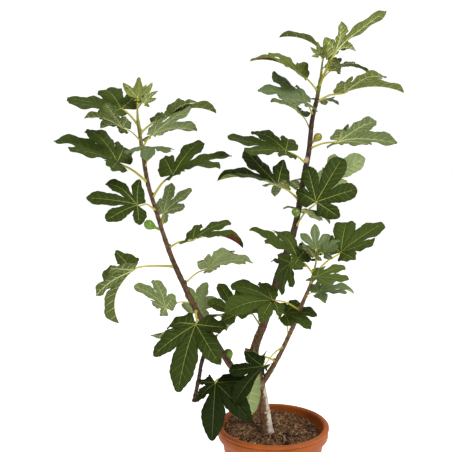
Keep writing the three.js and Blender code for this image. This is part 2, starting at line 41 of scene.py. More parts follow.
millimetre = 0.001  # shapes are worked out in millimetres and stored in metres


# tools for nodes and finishes

def linearColour(code):
    values = [int(code[i:i + 2], 16) / 255 for i in (1, 3, 5)]
    return (*[v / 12.92 if v <= 0.04045 else ((v + 0.055) / 1.055) ** 2.4 for v in values], 1.0)


def addNode(tree, kind, inputs=None, **settings):
    node = tree.nodes.new(kind)
    for name, value in settings.items():
        setattr(node, name, value)
    for socket, value in (inputs or {}).items():
        if isinstance(value, bpy.types.NodeSocket):
            tree.links.new(value, node.inputs[socket])
        else:
            node.inputs[socket].default_value = value
    return node


def newMaterial(name, finish):
    # also gives the place on the object, in metres, that all patterns are laid out in
    material = bpy.data.materials.new(name)
    material.use_nodes = True
    tree = material.node_tree
    shader = tree.nodes["Principled BSDF"]
    for socket, value in finish.items():
        shader.inputs[socket].default_value = value
    place = addNode(tree, "ShaderNodeTexCoord").outputs["Object"]
    return material, tree, shader, place


def cloudy(tree, place, width, detail):
    # soft noise with features about this many millimetres wide
    clouds = addNode(tree, "ShaderNodeTexNoise", {
        "Vector": place, "Scale": 1000 / width, "Detail": detail})
    return clouds.outputs["Fac"]


def cells(tree, place, width, feature="F1"):
    # a net of cells about this many millimetres wide
    net = addNode(tree, "ShaderNodeTexVoronoi", {"Vector": place, "Scale": 1000 / width}, feature=feature)
    return net.outputs["Distance"]


def stretched(tree, place, scale):
    return addNode(tree, "ShaderNodeMapping", {"Vector": place, "Scale": scale}).outputs[0]


def sharpened(tree, value, low, high):
    ramp = addNode(tree, "ShaderNodeMapRange", {"Value": value, "From Min": low, "From Max": high})
    return ramp.outputs[0]


def blend(tree, factor, first, second):
    # colours given as codes, as numbers or taken from another node
    first, second = [linearColour(c) if isinstance(c, str) else c for c in (first, second)]
    mix = addNode(tree, "ShaderNodeMix", {"Factor": factor, 6: first, 7: second}, data_type="RGBA")
    return mix.outputs[2]


def addRelief(tree, shader, height, strength, depth):  # depth in mm
    bump = addNode(tree, "ShaderNodeBump", {
        "Height": height, "Strength": strength, "Distance": depth * millimetre})
    tree.links.new(bump.outputs["Normal"], shader.inputs["Normal"])


def linkMesh(name, mesh):
    piece = bpy.data.objects.new(name, mesh)
    scene.collection.objects.link(piece)
    return piece


# camera, floor and light

stageSettings = {
    "cameraPlace": (-0.1175, -2.390, 1.2546),
    "cameraPitch": 78.1,  # degrees up from straight down
    "lens": 81.2, "sensor": 36.0,
    "floorSize": 12.0, "floorGlow": 0.55,
    "worldStrength": 0.45, "backdropStrength": 1.1,
}

cameraData = bpy.data.cameras.new("studioCamera")
cameraData.lens = stageSettings["lens"]
cameraData.sensor_width = stageSettings["sensor"]
camera = bpy.data.objects.new("studioCamera", cameraData)
camera.location = stageSettings["cameraPlace"]
camera.rotation_euler = (math.radians(stageSettings["cameraPitch"]), 0, 0)
scene.collection.objects.link(camera)
scene.camera = camera
scene.view_settings.view_transform = "Standard"

# a soft warm studio that the camera sees as plain white
world = bpy.data.worlds.new("studio")
world.use_nodes = True
scene.world = world
world.node_tree.nodes.clear()
lightPath = addNode(world.node_tree, "ShaderNodeLightPath")
studioLight = addNode(world.node_tree, "ShaderNodeBackground", {
    "Color": linearColour("#FFFDF8"), "Strength": stageSettings["worldStrength"]})
backdrop = addNode(world.node_tree, "ShaderNodeBackground", {
    "Color": (1, 1, 1, 1), "Strength": stageSettings["backdropStrength"]})
chooseLight = addNode(world.node_tree, "ShaderNodeMixShader", {
    0: lightPath.outputs["Is Camera Ray"], 1: studioLight.outputs[0], 2: backdrop.outputs[0]})
addNode(world.node_tree, "ShaderNodeOutputWorld", {"Surface": chooseLight.outputs[0]})

# soft boxes, sizes in metres, and a narrow lamp that only reaches the pot and the foot of the trunk
lampRows = [
    ("keyLight", "AREA", (1.5, -1.5, 2.7), (0, 0, 0.7), 78, {"shape": "SQUARE", "size": 1.1}),
    ("fillLight", "AREA", (-2.0, -1.6, 2.2), (0, 0, 0.8), 34, {"shape": "SQUARE", "size": 1.4}),
    ("rimLight", "AREA", (0.4, 2.4, 2.4), (0, 0, 0.9), 12, {"shape": "SQUARE", "size": 1.8}),
    ("potLight", "SPOT", (1.6, 0.3, 0.75), (0, 0, 0.2), 48,
     {"spot_size": math.radians(17), "spot_blend": 0.5, "shadow_soft_size": 0.25}),
]
for name, kind, place, aim, watts, settings in lampRows:
    lamp = bpy.data.lights.new(name, kind)
    lamp.energy = watts
    for setting, value in settings.items():
        setattr(lamp, setting, value)
    lampObject = bpy.data.objects.new(name, lamp)
    lampObject.location = place
    lampObject.rotation_euler = (Vector(aim) - Vector(place)).to_track_quat("-Z", "Y").to_euler()
    scene.collection.objects.link(lampObject)

# matt painted floor, lit from within so that it melts into the white backdrop
floorMesh = bpy.data.meshes.new("floor")
half = stageSettings["floorSize"] / 2
floorCorners = [(-half, -half, 0), (half, -half, 0), (half, half, 0), (-half, half, 0)]
floorMesh.from_pydata(floorCorners, [], [(0, 1, 2, 3)])
floorPaint, *_ = newMaterial("paleStudioFloor", {
    "Base Color": linearColour("#FAFAFA"), "Roughness": 0.9,
    "Emission Color": (1, 1, 1, 1), "Emission Strength": stageSettings["floorGlow"]})
floorMesh.materials.append(floorPaint)
floor = linkMesh("floor", floorMesh)
print("stage ready")


# shared shape tools

def seededNumbers(seed):
    state = seed * 2654435761 % 4294967296

    def draw():
        nonlocal state
        state = (state * 1664525 + 1013904223) % 4294967296
        return state / 4294967296

    return draw


def direction(heading, rise):  # degrees; heading 0 right, 90 back, -90 front
    a, b = math.radians(heading), math.radians(rise)
    return np.array([math.cos(a) * math.cos(b), math.sin(a) * math.cos(b), math.sin(b)])


def lineLength(line):
    return np.linalg.norm(np.diff(line, axis=0), axis=1).sum()


def smoothRoute(points, steps, before=None, after=None):
    # centripetal Catmull-Rom through the points, then evenly spaced along its length
    p = np.array(points, float)
    before = 2 * p[0] - p[1] if before is None else before
    after = 2 * p[-1] - p[-2] if after is None else after
    p = np.vstack([before, p, after])
    t = np.linspace(0, 1, 40, endpoint=False)[:, None]
    fine = []
    for a, b, c, d in zip(p, p[1:], p[2:], p[3:]):
        ta, tb, tc = (max(np.linalg.norm(v) ** 0.5, 1e-6) for v in (b - a, c - b, d - c))
        leave = ((b - a) / ta - (c - a) / (ta + tb) + (c - b) / tb) * tb
        arrive = ((c - b) / tb - (d - b) / (tb + tc) + (d - c) / tc) * tb
        fine.append(b + leave * t + (3 * (c - b) - 2 * leave - arrive) * t ** 2
                    + (2 * (b - c) + leave + arrive) * t ** 3)
    fine = np.vstack([*fine, p[-2]])
    run = np.concatenate([[0], np.cumsum(np.linalg.norm(np.diff(fine, axis=0), axis=1))])
    even = np.linspace(0, run[-1], steps + 1)
    return np.column_stack([np.interp(even, run, fine[:, k]) for k in range(fine.shape[1])])


def newBundle():
    return {"points": [], "faces": [], "finishes": [], "count": 0}


def addShape(bundle, points, faces, finish):
    # finish is one slot number, or one for each face
    bundle["points"].append(points)
    start = bundle["count"]
    bundle["faces"].extend([tuple(i + start for i in face) for face in faces])
    bundle["finishes"].extend([finish] * len(faces) if isinstance(finish, int) else finish)
    bundle["count"] += len(points)


def makePiece(name, bundle, materials, creaseAngle=60):
    mesh = bpy.data.meshes.new(name)
    mesh.from_pydata(np.vstack(bundle["points"]) * millimetre, [], bundle["faces"])
    for material in materials:
        mesh.materials.append(material)
    mesh.polygons.foreach_set("material_index", bundle["finishes"])
    mesh.polygons.foreach_set("use_smooth", [True] * len(mesh.polygons))
    mesh.set_sharp_from_angle(angle=math.radians(creaseAngle))
    mesh.update()
    return linkMesh(name, mesh)


def evaluatedMesh(piece):
    return bpy.data.meshes.new_from_object(piece.evaluated_get(bpy.context.evaluated_depsgraph_get()))


def ringFaces(count, sides):
    # joins stacked rings and closes both ends; the two end points come after the last ring
    faces = []
    for i in range(count - 1):
        for j in range(sides):
            a, b = i * sides + j, i * sides + (j + 1) % sides
            faces.append((a, b, b + sides, a + sides))
    last, foot = (count - 1) * sides, count * sides
    for j in range(sides):
        k = (j + 1) % sides
        faces.append((foot, k, j))
        faces.append((foot + 1, last + j, last + k))
    return faces


def tube(centres, radii, sides):
    # closed tube; radii holds one number for each ring, or one for each ring and side
    steps = len(centres)
    ahead = np.gradient(centres, axis=0)
    ahead /= np.linalg.norm(ahead, axis=1)[:, None]
    across = np.cross(ahead[0], [0.0, 1.0, 0.0] if abs(ahead[0][1]) < 0.9 else [1.0, 0.0, 0.0])
    across /= np.linalg.norm(across)
    angles = np.linspace(0, 2 * math.pi, sides, endpoint=False)
    radii = np.broadcast_to(np.asarray(radii, float).reshape(steps, -1), (steps, sides))
    rings = []
    for i in range(steps):
        across = across - ahead[i] * across.dot(ahead[i])
        across /= np.linalg.norm(across)
        other = np.cross(ahead[i], across)
        rings.append(centres[i] + radii[i][:, None] * (
            np.cos(angles)[:, None] * across + np.sin(angles)[:, None] * other))
    return np.vstack([*rings, centres[0], centres[-1]]), ringFaces(steps, sides)


# limbs: the same routes and radii as the solids, in mm

routeSteps = 400
limbs = {
    "trunk": {
        "route": [(-12, 0, 205), (-15, 0, 226), (-19, 0, 256), (-24, 2, 295), (-29, 5, 328), (-37, 8, 368)],
        "foot": 14.5, "tip": 11.5, "flare": 7},
    "left": {
        "route": [(-30, 4, 322), (-66, -6, 353), (-103, -16, 401), (-144, -24, 470), (-183, -26, 537),
                  (-216, -24, 606), (-249, -18, 681), (-287, -4, 798), (-304, 2, 857), (-314, 8, 921),
                  (-321, 10, 971), (-325, 12, 1005)],
        "foot": 8.5, "tip": 4.2, "flare": 2.5},
    "right": {
        "route": [(-37, 8, 368), (-48, 12, 427), (-41, 14, 458), (-25, 18, 498), (-7, 26, 554),
                  (10, 34, 616), (32, 40, 677), (50, 44, 737), (61, 46, 798), (73, 46, 875),
                  (82, 44, 928), (88, 38, 1001), (98, 32, 1054), (105, 26, 1101)],
        "foot": 11.6, "tip": 4.6, "flare": 0},
    "side": {
        "route": [(-32, 4, 346), (-9, -14, 390), (9, -30, 429), (29, -48, 481), (49, -64, 536),
                  (64, -76, 584), (79, -84, 625), (88, -88, 662)],
        "foot": 6.5, "tip": 3.8, "flare": 1.5},
    "spur": {
        "route": [(-144, -24, 470), (-164, -34, 451), (-176, -42, 423), (-183, -48, 385), (-190, -52, 353),
                  (-195, -54, 325)],
        "foot": 5.4, "tip": 4.6, "flare": 0},
    "left_tip": {"route": [(-325, 12, 1000), (-326, 13, 1030), (-324, 14, 1056)],
                 "foot": 3.8, "tip": 1.2, "flare": 0},
    "right_tip": {"route": [(105, 26, 1096), (107, 22, 1130), (110, 20, 1160)],
                  "foot": 4.1, "tip": 1.2, "flare": 0},
    "side_tip": {"route": [(87, -88, 658), (91, -91, 682), (94, -92, 706)],
                 "foot": 3.4, "tip": 1.2, "flare": 0},
}
for limb in limbs.values():
    limb["line"] = smoothRoute(limb["route"], routeSteps)


def shareAt(limb, height):
    heights = limb["line"][:, 2]
    order = slice(None) if heights[-1] > heights[0] else slice(None, None, -1)
    return float(np.interp(height, heights[order], np.linspace(0, 1, len(heights))[order]))


def limbPoint(limb, height):
    along = shareAt(limb, height) * routeSteps
    return np.array([np.interp(along, range(routeSteps + 1), limb["line"][:, k]) for k in range(3)])


def limbRadius(limb, share):
    return limb["foot"] + (limb["tip"] - limb["foot"]) * share + limb["flare"] * np.exp(-9 * share)


# leaves, one a row: limb and height on it, stalk and blade as heading, rise and length, the finishes
# dealt to its upper side and underside, and what isn't left to its seed; the finishes are mostly painted
# light and shade, each leaf taking the tone that it shows where it hangs
leafRows = [
    ("left", 990, (165, 42, 58), (152, 1, 150), "dark", "sage", {"lean": 14, "fold": 0.25}),
    ("left", 971, (28, 27, 72), (24, 13, 138), "mid", "olive", {"lean": -14, "sides": (0.9, 0.8)}),
    ("left", 954, (-114, 26, 95), (-176, 20, 92), "mid", "deep",
     {"lean": -28, "fold": 0.25, "sides": (0.9, 0.85)}),
    ("left", 935, (60, 34, 54), (30, 5, 122), "mid", "pale",
     {"lean": -35, "fold": 0.3, "sides": (0.75, 1)}),
    ("left", 889, (-60, 55, 68), (-95, -10, 90), "grey", "pale", {"fold": 0.1}),
    ("left", 857, (-158, 36, 90), (178, 18, 158), "dark", "olive", {"lean": 12, "fold": 0.35}),
    ("left", 819, (25, 44, 76), (12, 14, 150), "dark", "olive", {"lean": 8, "fold": 0.42}),
    ("left", 789, (-128, 20, 70), (-165, 8, 120), "deep", "sage", {"lean": 38, "fold": 0.25, "cut": 1.4}),
    ("left", 743, (88, 38, 54), (20, 32, 90), "mid", "sage", {"lean": -45, "fold": 0.35}),
    ("left", 700, (-30, 22, 75), (-12, 4, 128), "dark", "olive",
     {"lean": 4, "fold": 0.4, "droop": 36, "scorch": (0.8, -0.06, 0.17)}),
    ("left", 656, (-170, -2, 100), (180, -66, 150), "dark", "deep",
     {"fold": 0.85, "droop": 50, "sides": (0.85, 0.85)}),
    ("left", 612, (36, 22, 82), (-10, 14, 112), "grey", "pale", {"lean": -30, "fold": 0.3, "cut": 0.85}),
    ("left", 567, (-160, -4, 68), (172, 36, 95), "mid", "sage",
     {"lean": -50, "fold": 0.1, "sides": (1, 0.6)}),
    ("left", 534, (100, 5, 40), (50, 60, 75), "mid", "pale", {"lean": -50, "fold": 0.1, "cut": 0.8}),
    ("left", 550, (-90, -35, 45), (-111, -52, 172), "deep", "sage",
     {"fold": 0.15, "cut": 0.82, "sides": (0.86, 0.8), "pointed": True}),
    ("left", 473, (-5, 52, 84), (140, 50, 86), "dark", "olive", {"lean": 20, "fold": 0.2}),
    ("left", 379, (-131, 2, 84), (-94, -48, 146), "shade", "sage",
     {"fold": 0.2, "cut": 0.9, "sides": (1, 0.5), "pointed": True}),
    ("right", 1078, (-61, 53, 104), (0, 33, 145), "mid", "olive",
     {"lean": -24, "fold": 0.25, "droop": 42, "sides": (0.45, 0.6)}),
    ("right", 1089, (53, 36, 72), (175, 35, 152), "mid", "olive",
     {"lean": -8, "fold": 0.25, "sides": (0.5, 1)}),
    ("right", 1092, (-31, 38, 55), (-10, -4, 80), "mid", "sage",
     {"lean": -14, "fold": 0.2, "sides": (0.5, 0.8)}),
    ("right", 1068, (-155, 40, 70), (172, 18, 122), "olive", "olive",
     {"lean": 5, "fold": 0.25, "scorch": (0.66, 0.2, 0.19)}),
    ("right", 1044, (-19, 20, 73), (-4, 2, 142), "grey", "olive", {"lean": -12, "fold": 0.45}),
    ("right", 1011, (-120, 40, 60), (-165, 12, 120), "grey", "olive", {"lean": 22, "fold": 0.18}),
    ("right", 974, (125, 40, 65), (142, 12, 86), "mid", "sage", {"lean": -30}),
    ("right", 932, (-19, 16, 76), (0, -6, 138), "mid", "sage",
     {"lean": -35, "fold": 0.35, "droop": 45, "sides": (1, 0.8)}),
    ("right", 895, (-150, 30, 70), (175, 8, 140), "dark", "olive", {"lean": 15, "fold": 0.3}),
    ("right", 830, (120, 15, 55), (118, -25, 88), "mid", "sage", {"fold": 0.2}),
    ("right", 803, (-155, 35, 75), (178, 12, 148), "deep", "olive", {"lean": 8}),
    ("right", 776, (45, 30, 118), (25, 28, 125), "grey", "pale",
     {"lean": -68, "fold": 0.1, "cut": 0.8, "sides": (0.75, 0.7)}),
    ("right", 733, (-40, 50, 100), (30, 54, 128), "deep", "sage",
     {"lean": 60, "fold": 0.08, "cut": 1.1, "sides": (0.85, 0.95)}),
    ("right", 658, (-75, 5, 50), (-155, -72, 82), "dark", "sage", {"fold": 0.2}),
    ("side", 655, (-150, 43, 62), (166, 28, 130), "dark", "olive", {"lean": 2}),
    ("side", 648, (10, 40, 88), (30, 22, 132), "dark", "sage",
     {"lean": 12, "fold": 0.25, "cut": 0.8, "sides": (1, 0.75)}),
    ("side", 628, (-80, 32, 62), (-30, -2, 80), "mid", "sage", {"lean": 20}),
    ("side", 597, (-45, 25, 45), (8, 6, 88), "grey", "pale", {"lean": 10}),
    ("side", 562, (-150, 25, 85), (-155, -2, 122), "dark", "sage",
     {"lean": 36, "fold": 0.15, "cut": 0.75, "sides": (0.65, 1), "scorch": (0.02, 0.03, 0.05)}),
    ("side", 489, (-108, 64, 74), (16, -2, 85), "dark", "sage", {"lean": 24, "fold": 0.15, "cut": 0.8}),
    ("side", 464, (-136, -25, 80), (-150, -42, 112), "shade", "sage",
     {"lean": 20, "fold": 0.2, "sides": (0.2, 0.9)}),
    ("side", 419, (-158, 14, 49), (-166, -78, 146), "mid", "pale",
     {"lean": -90, "fold": 0.05, "droop": 8, "cut": 1.5, "sides": (0.2, 0.2)}),
    ("left", 508, (150, -10, 60), (130, -42, 108), "dark", "sage", {"fold": 0.2}),
    ("right", 1020, (50, 45, 40), (75, -20, 60), "mid", "sage", {"fold": 0.2}),
    ("right", 742, (70, 30, 60), (50, -30, 92), "dark", "sage", {"fold": 0.2}),
    ("right", 600, (40, 50, 60), (55, -10, 90), "dark", "sage", {"fold": 0.2}),
    ("right", 488, (120, 25, 60), (125, -25, 130), "dark", "sage", {"fold": 0.2}),
    ("left_tip", 1040, (70, 62, 12), (-80, 70, 64), "fresh", "fresh",
     {"fold": 0.2, "cut": 0.62, "outer": 0.3}),
    ("left_tip", 1034, (20, 30, 22), (15, 42, 42), "fresh", "fresh", {"lean": -40, "fold": 0.2}),
    ("left_tip", 1048, (100, 55, 16), (100, 40, 40), "fresh", "fresh", {"fold": 0.2}),
    ("right_tip", 1150, (20, 60, 14), (10, 60, 34), "grey", "fresh", {"lean": -40, "fold": 0.2}),
    ("right_tip", 1144, (-150, 50, 14), (-120, 66, 34), "grey", "fresh", {"lean": -20, "fold": 0.2}),
    ("right_tip", 1138, (-60, 40, 20), (-40, 40, 38), "grey", "fresh", {"lean": -30, "fold": 0.2}),
    ("side_tip", 700, (100, 50, 20), (90, 50, 60), "grey", "olive", {"fold": 0.2}),
    ("side_tip", 692, (-20, 40, 24), (20, 40, 52), "grey", "olive", {"lean": 10, "fold": 0.2}),
    ("side_tip", 688, (-120, 45, 20), (-135, 45, 52), "grey", "olive", {"lean": 10, "fold": 0.2}),
]
# drawn for each leaf that doesn't say: lowest value and spread
leafHabit = {"droop": (18, 22), "fold": (0.38, 0.14), "sag": (0.1, 0.2), "arch": (4, 5), "cut": (0.9, 0.35)}

# five lobes; edge points are shares of the lobe's length and of its half-width
lobeShapes = [
    {"side": 0, "angle": 92, "length": 0.56, "width": 0.15, "edge": [(0.74, 1)], "veins": 3},
    {"side": 0, "angle": 42, "length": 0.86, "width": 0.19, "edge": [(0.64, 1), (0.9, 0.76)], "veins": 5},
    {"side": None, "angle": 0, "length": 1, "width": 0.205, "edge": [(0.64, 1), (0.9, 0.76)], "veins": 6},
    {"side": 1, "angle": -42, "length": 0.86, "width": 0.19, "edge": [(0.64, 1), (0.9, 0.76)], "veins": 5},
    {"side": 1, "angle": -92, "length": 0.56, "width": 0.15, "edge": [(0.74, 1)], "veins": 3},
]
leafForm = {
    "seed": 11, "bladeSeed": 511, "angleSpread": 0.08, "lengthSpread": 0.14,
    "notchDepth": 0.42, "fullPair": 1.84, "notchLimit": 0.66, "sectorShare": 0.94,
    "youngLength": 80, "youngEdge": [(0.68, 1)], "tipEdge": [(0.48, 0.95)],
    "pointedEdge": [(0.54, 1), (0.83, 0.62)],  # lobes of the two big hanging leaves
    "heelAngle": 150, "heelLength": 0.22,
    "thickness": 0.6, "foldRound": 3,  # mm
    "seamShare": 0.2,  # share of each lobe side's columns that lies between two main veins
    "seamVeins": (0.42, 0.78),
    "firstVein": 0.22,  # where the first column past the notch leaves the main vein
    "fill": 4, "youngFill": 2,  # columns between two side veins
    "rows": (0, 0.28, 0.58, 0.85, 1),
    "fullLength": 150,  # mm, the blade that the measures below belong to
    "mainVein": 1.2, "sideVein": 0.55,  # half widths in mm, a little wide so that they show
    "mainTaper": 0.75, "sideTaper": 0.7, "rimVein": 0.3,  # how veins narrow towards their ends
    "mainLimit": 0.4,  # most that the main vein may take of a half lobe's width
    "sideSlant": 1.2,  # side veins lean more and more towards the tip
    "ridge": 1.1, "sideRidge": 0.45, "ridgeTaper": 0.7,  # how far veins stand out underneath, mm
    "topGroove": 0.15,  # share of that by which they sink into the upper side
    "quilt": 1.5,  # mm
    "arch": 0.22, "wave": 0.018, "waves": 16, "waveStart": 0.15,  # shares of width and length
    "tooth": 0.013, "toothFirst": 0.2, "toothRound": 0.7, "toothMiddle": 0.6, "toothFade": 0.4,
    "bendLow": -0.2, "bendSpread": 0.34, "bendStart": 0.35,  # how far and from where lobe tips bend
}


def readyLeaf(index, row):
    limbName, height, stalk, blade, top, under, own = row
    leaf = {"lean": 0, "sides": (1, 1), "outer": 1, "pointed": False, "scorch": None, **own,
            "on": limbName, "at": height, "stalk": stalk, "blade": blade, "top": top, "under": under}
    random = seededNumbers(index + leafForm["seed"])
    for key, (low, spread) in leafHabit.items():
        if key not in leaf:
            leaf[key] = low + spread * random()
    leaf["length"] = blade[2]
    leaf["young"] = blade[2] < leafForm["youngLength"]
    leaf["veinScale"] = min(1.1, max(0.5, blade[2] / leafForm["fullLength"]))
    leaf["lobes"] = []
    for shape in lobeShapes:
        angle = shape["angle"] * (1 + leafForm["angleSpread"] * (random() - 0.5))
        share = 1 if shape["side"] is None else leaf["sides"][shape["side"]]
        if shape in (lobeShapes[0], lobeShapes[-1]):
            share *= leaf["outer"]
        length = shape["length"] * share
        if shape["side"] is not None:
            length *= 1 + leafForm["lengthSpread"] * (random() - 0.5)
        edge = leafForm["youngEdge"] if leaf["young"] else shape["edge"]
        if leaf["pointed"]:
            edge = leafForm["pointedEdge"]
        if limbName in ("left_tip", "right_tip"):
            edge = leafForm["tipEdge"]
        leaf["lobes"].append({"angle": angle, "length": length, "edge": edge, "veins": shape["veins"],
                              "width": shape["width"] * share / math.sqrt(leaf["cut"])})
    leaf["start"] = limbPoint(limbs[limbName], height)
    leaf["foot"] = leaf["start"] + direction(*stalk[:2]) * stalk[2]
    leaf["random"] = seededNumbers(index + leafForm["bladeSeed"])
    return leaf


def bladePlace(leaf):
    # bends the flat blade down along its length and folds it up along its middle vein
    ahead = direction(*leaf["blade"][:2])
    lean = math.radians(leaf["lean"])
    up = np.array([0, -math.sin(lean), math.cos(lean)])
    up = up - ahead * up.dot(ahead)
    up /= np.linalg.norm(up)
    left = np.cross(up, ahead)
    droop, length, rounding = math.radians(leaf["droop"]), leaf["length"], leafForm["foldRound"]

    def place(along, across, lift):
        turn = droop * (0.5 - along / length)
        reach = length * (math.sin(droop / 2) - np.sin(turn)) / droop + lift * np.sin(-turn)
        drop = length * (np.cos(turn) - math.cos(droop / 2)) / droop
        folded = leaf["fold"] * (np.sqrt(across ** 2 + rounding ** 2) - rounding)
        height = drop + (folded - leaf["sag"] * across ** 2 / length) + lift * np.cos(turn)
        return leaf["foot"] + reach[:, None] * ahead + across[:, None] * left + height[:, None] * up

    return place


def polar(leaf, angle, radius, aside=0.0):
    a = math.radians(angle)
    return np.array([radius * math.cos(a) - aside * math.sin(a),
                     radius * math.sin(a) + aside * math.cos(a)]) * leaf["length"]


def lobeBounds(leaf):
    # the angles between the lobes, and the notch at each
    form, lobes = leafForm, leaf["lobes"]
    bounds = [form["heelAngle"]]
    notches = [polar(leaf, form["heelAngle"], form["heelLength"])]
    for one, two in zip(lobes, lobes[1:]):
        depth = form["notchDepth"] / leaf["cut"] * (one["length"] + two["length"]) / form["fullPair"]
        deepest = form["notchLimit"] * min(one["length"], two["length"])
        bounds.append((one["angle"] + two["angle"]) / 2)
        notches.append(polar(leaf, bounds[-1], min(depth, deepest)))
    bounds.append(-form["heelAngle"])
    notches.append(polar(leaf, -form["heelAngle"], form["heelLength"]))
    return bounds, notches


def edgeSpot(leaf, bounds, number, side, point):
    # a point of one lobe's edge, kept inside the lobe's own sector
    lobe = leaf["lobes"][number]
    sector = abs(bounds[number if side > 0 else number + 1] - lobe["angle"]) * leafForm["sectorShare"]
    widest = math.tan(math.radians(sector)) * lobe["length"] * point[0]
    aside = side * min(lobe["width"] * point[1], widest)
    return polar(leaf, lobe["angle"], lobe["length"] * point[0], aside)


def lobeOutline(leaf, bounds, notch, number, side):
    # from the notch to the tip of one lobe, with shallow teeth
    form, lobes = leafForm, leaf["lobes"]
    lobe, beside = lobes[number], number - side
    edge = [edgeSpot(leaf, bounds, number, side, point) for point in lobe["edge"]]
    before = np.zeros(2)
    if 0 <= beside < len(lobes):
        before = edgeSpot(leaf, bounds, beside, -side, lobes[beside]["edge"][0])
    after = edgeSpot(leaf, bounds, number, -side, lobe["edge"][-1])
    tip = polar(leaf, lobe["angle"], lobe["length"])
    outline = smoothRoute([notch, *edge, tip], 96, before, after)
    e = np.linspace(0, 1, len(outline))
    tangent = np.gradient(outline, axis=0)
    tangent /= np.linalg.norm(tangent, axis=1)[:, None]
    outward = np.column_stack([-tangent[:, 1], tangent[:, 0]]) * side
    swing = np.abs(np.sin(math.pi * (lobe["veins"] + 1) * e + form["toothFirst"]))
    scallop = swing ** form["toothRound"] - form["toothMiddle"]
    bulge = leaf["length"] * form["tooth"] * scallop * np.sin(math.pi * e) ** form["toothFade"]
    return outline + outward * bulge[:, None]


def bladeColumns(leaf, lobe):
    # columns from the notch to the tip: where each starts, which side of a vein it is on, and the
    # numbers of those that begin a side vein
    form, seam = leafForm, leafForm["seamShare"]
    veins = max(2, lobe["veins"] - 2) if leaf["young"] else lobe["veins"]
    middles = [seam * v for v in form["seamVeins"]]
    middles += [seam + (1 - seam) * (k + 0.55) / (veins + 0.6) for k in range(veins)]
    columns, strips = [(0.0, 0)], []
    previous = 0.0
    for middle in middles + [1.0]:
        fill = form["youngFill"] if middle <= seam or leaf["young"] else form["fill"]
        columns += [(float(s), 0) for s in np.linspace(previous, middle, fill + 1)[1:-1]]
        if middle < 1:
            strips.append(len(columns))
            columns += [(middle, -1), (middle, 0), (middle, 1)]
        previous = middle
    columns.append((1.0, 0))
    return columns, strips


def halfLobe(leaf, lobe, outline, notch, columns, strips, side, bend, phase):
    # a grid of rings from the main vein out to the edge: flat places, heights, and how far veins sink
    form, length, veinScale = leafForm, leaf["length"], leaf["veinScale"]
    rows, seam = np.array(form["rows"]), form["seamShare"]
    rings = len(rows) + 1
    tip = polar(leaf, lobe["angle"], lobe["length"])
    e = np.linspace(0, 1, len(outline))
    halfVein = form["sideVein"] * veinScale / (length * lobe["length"])
    start = np.repeat([c[0] for c in columns], rings)
    aside = np.repeat([halfVein * c[1] for c in columns], rings)
    ring = np.tile(np.arange(rings), len(columns))

    def across(s):
        pastSeam = np.clip((s - seam) / (1 - seam), 0, 1)
        inSeam = np.clip(s / seam, 0, 1)
        onVein = form["firstVein"] * inSeam + (1 - form["firstVein"]) * pastSeam ** form["sideSlant"]
        vein = tip[None, :] * onVein[:, None]
        rim = np.column_stack([np.interp(pastSeam, e, outline[:, k]) for k in (0, 1)])
        rim = np.where((s < seam)[:, None], notch[None, :] * inSeam[:, None], rim)
        return vein, rim, onVein

    vein, rim, onVein = across(start)
    width = np.maximum(np.linalg.norm(rim - vein, axis=1), 1e-6)
    mainHalf = form["mainVein"] * veinScale * (1 - form["mainTaper"] * onVein)
    first = np.minimum(mainHalf / width, form["mainLimit"])
    v = np.where(ring == 0, 0, first + (1 - first) * rows[np.maximum(ring - 1, 0)])
    taper = 1 - form["sideTaper"] * v
    s = np.clip(start + aside * taper * np.where(v >= 1, form["rimVein"], 1), 0, 1)
    vein, rim, onVein = across(s)
    width = np.linalg.norm(rim - vein, axis=1)
    spots = vein + (rim - vein) * v[:, None]
    # arched between main veins, quilted between side veins, waved along the free edge
    middles = np.array([0.0, *[columns[n + 1][0] for n in strips], 1.0])
    cell = np.clip(np.searchsorted(middles, start, side="right") - 1, 0, len(middles) - 2)
    inside = (s - middles[cell]) / (middles[cell + 1] - middles[cell])
    quilt = form["quilt"] * veinScale * np.sin(math.pi * np.clip(inside, 0, 1))
    quilt = quilt * np.sin(math.pi * v ** 0.9)
    arch = form["arch"] * width * v * (1 - v)
    edgeFade = np.clip((s - seam) / form["waveStart"], 0, 1)
    wave = form["wave"] * length * v ** 2 * edgeFade * np.sin(s * form["waves"] + phase + side)
    bent = bend * np.clip((onVein - form["bendStart"]) / (1 - form["bendStart"]), 0, 1) ** 2
    lifts = quilt * np.abs(np.sign(v)) + arch + wave + bent
    onSideVein = (aside == 0) & np.isin(np.round(start, 9), np.round(middles[1:-1], 9))
    sinks = np.where(ring == 0, form["ridge"] * veinScale * (1 - form["ridgeTaper"] * onVein), 0)
    sinks = np.where(onSideVein & (ring > 0) & (v < 0.99), form["sideRidge"] * veinScale * taper, sinks)
    return spots, lifts, sinks


def lobeCells(columns, strips, start, side):
    # the grid's faces, and for each whether it is blade (0), main vein (1) or side vein (2)
    rings = len(leafForm["rows"]) + 1
    faces, kinds = [], []
    for c in range(len(columns) - 1):
        onStrip = any(n <= c < n + 2 for n in strips)
        for r in range(rings - 1):
            p = start + c * rings + r
            q = p + rings
            faces.append((p, q, q + 1, p + 1) if side > 0 else (p, p + 1, q + 1, q))
            kinds.append(1 if r == 0 else 2 if onStrip and r < rings - 2 else 0)
    return faces, kinds


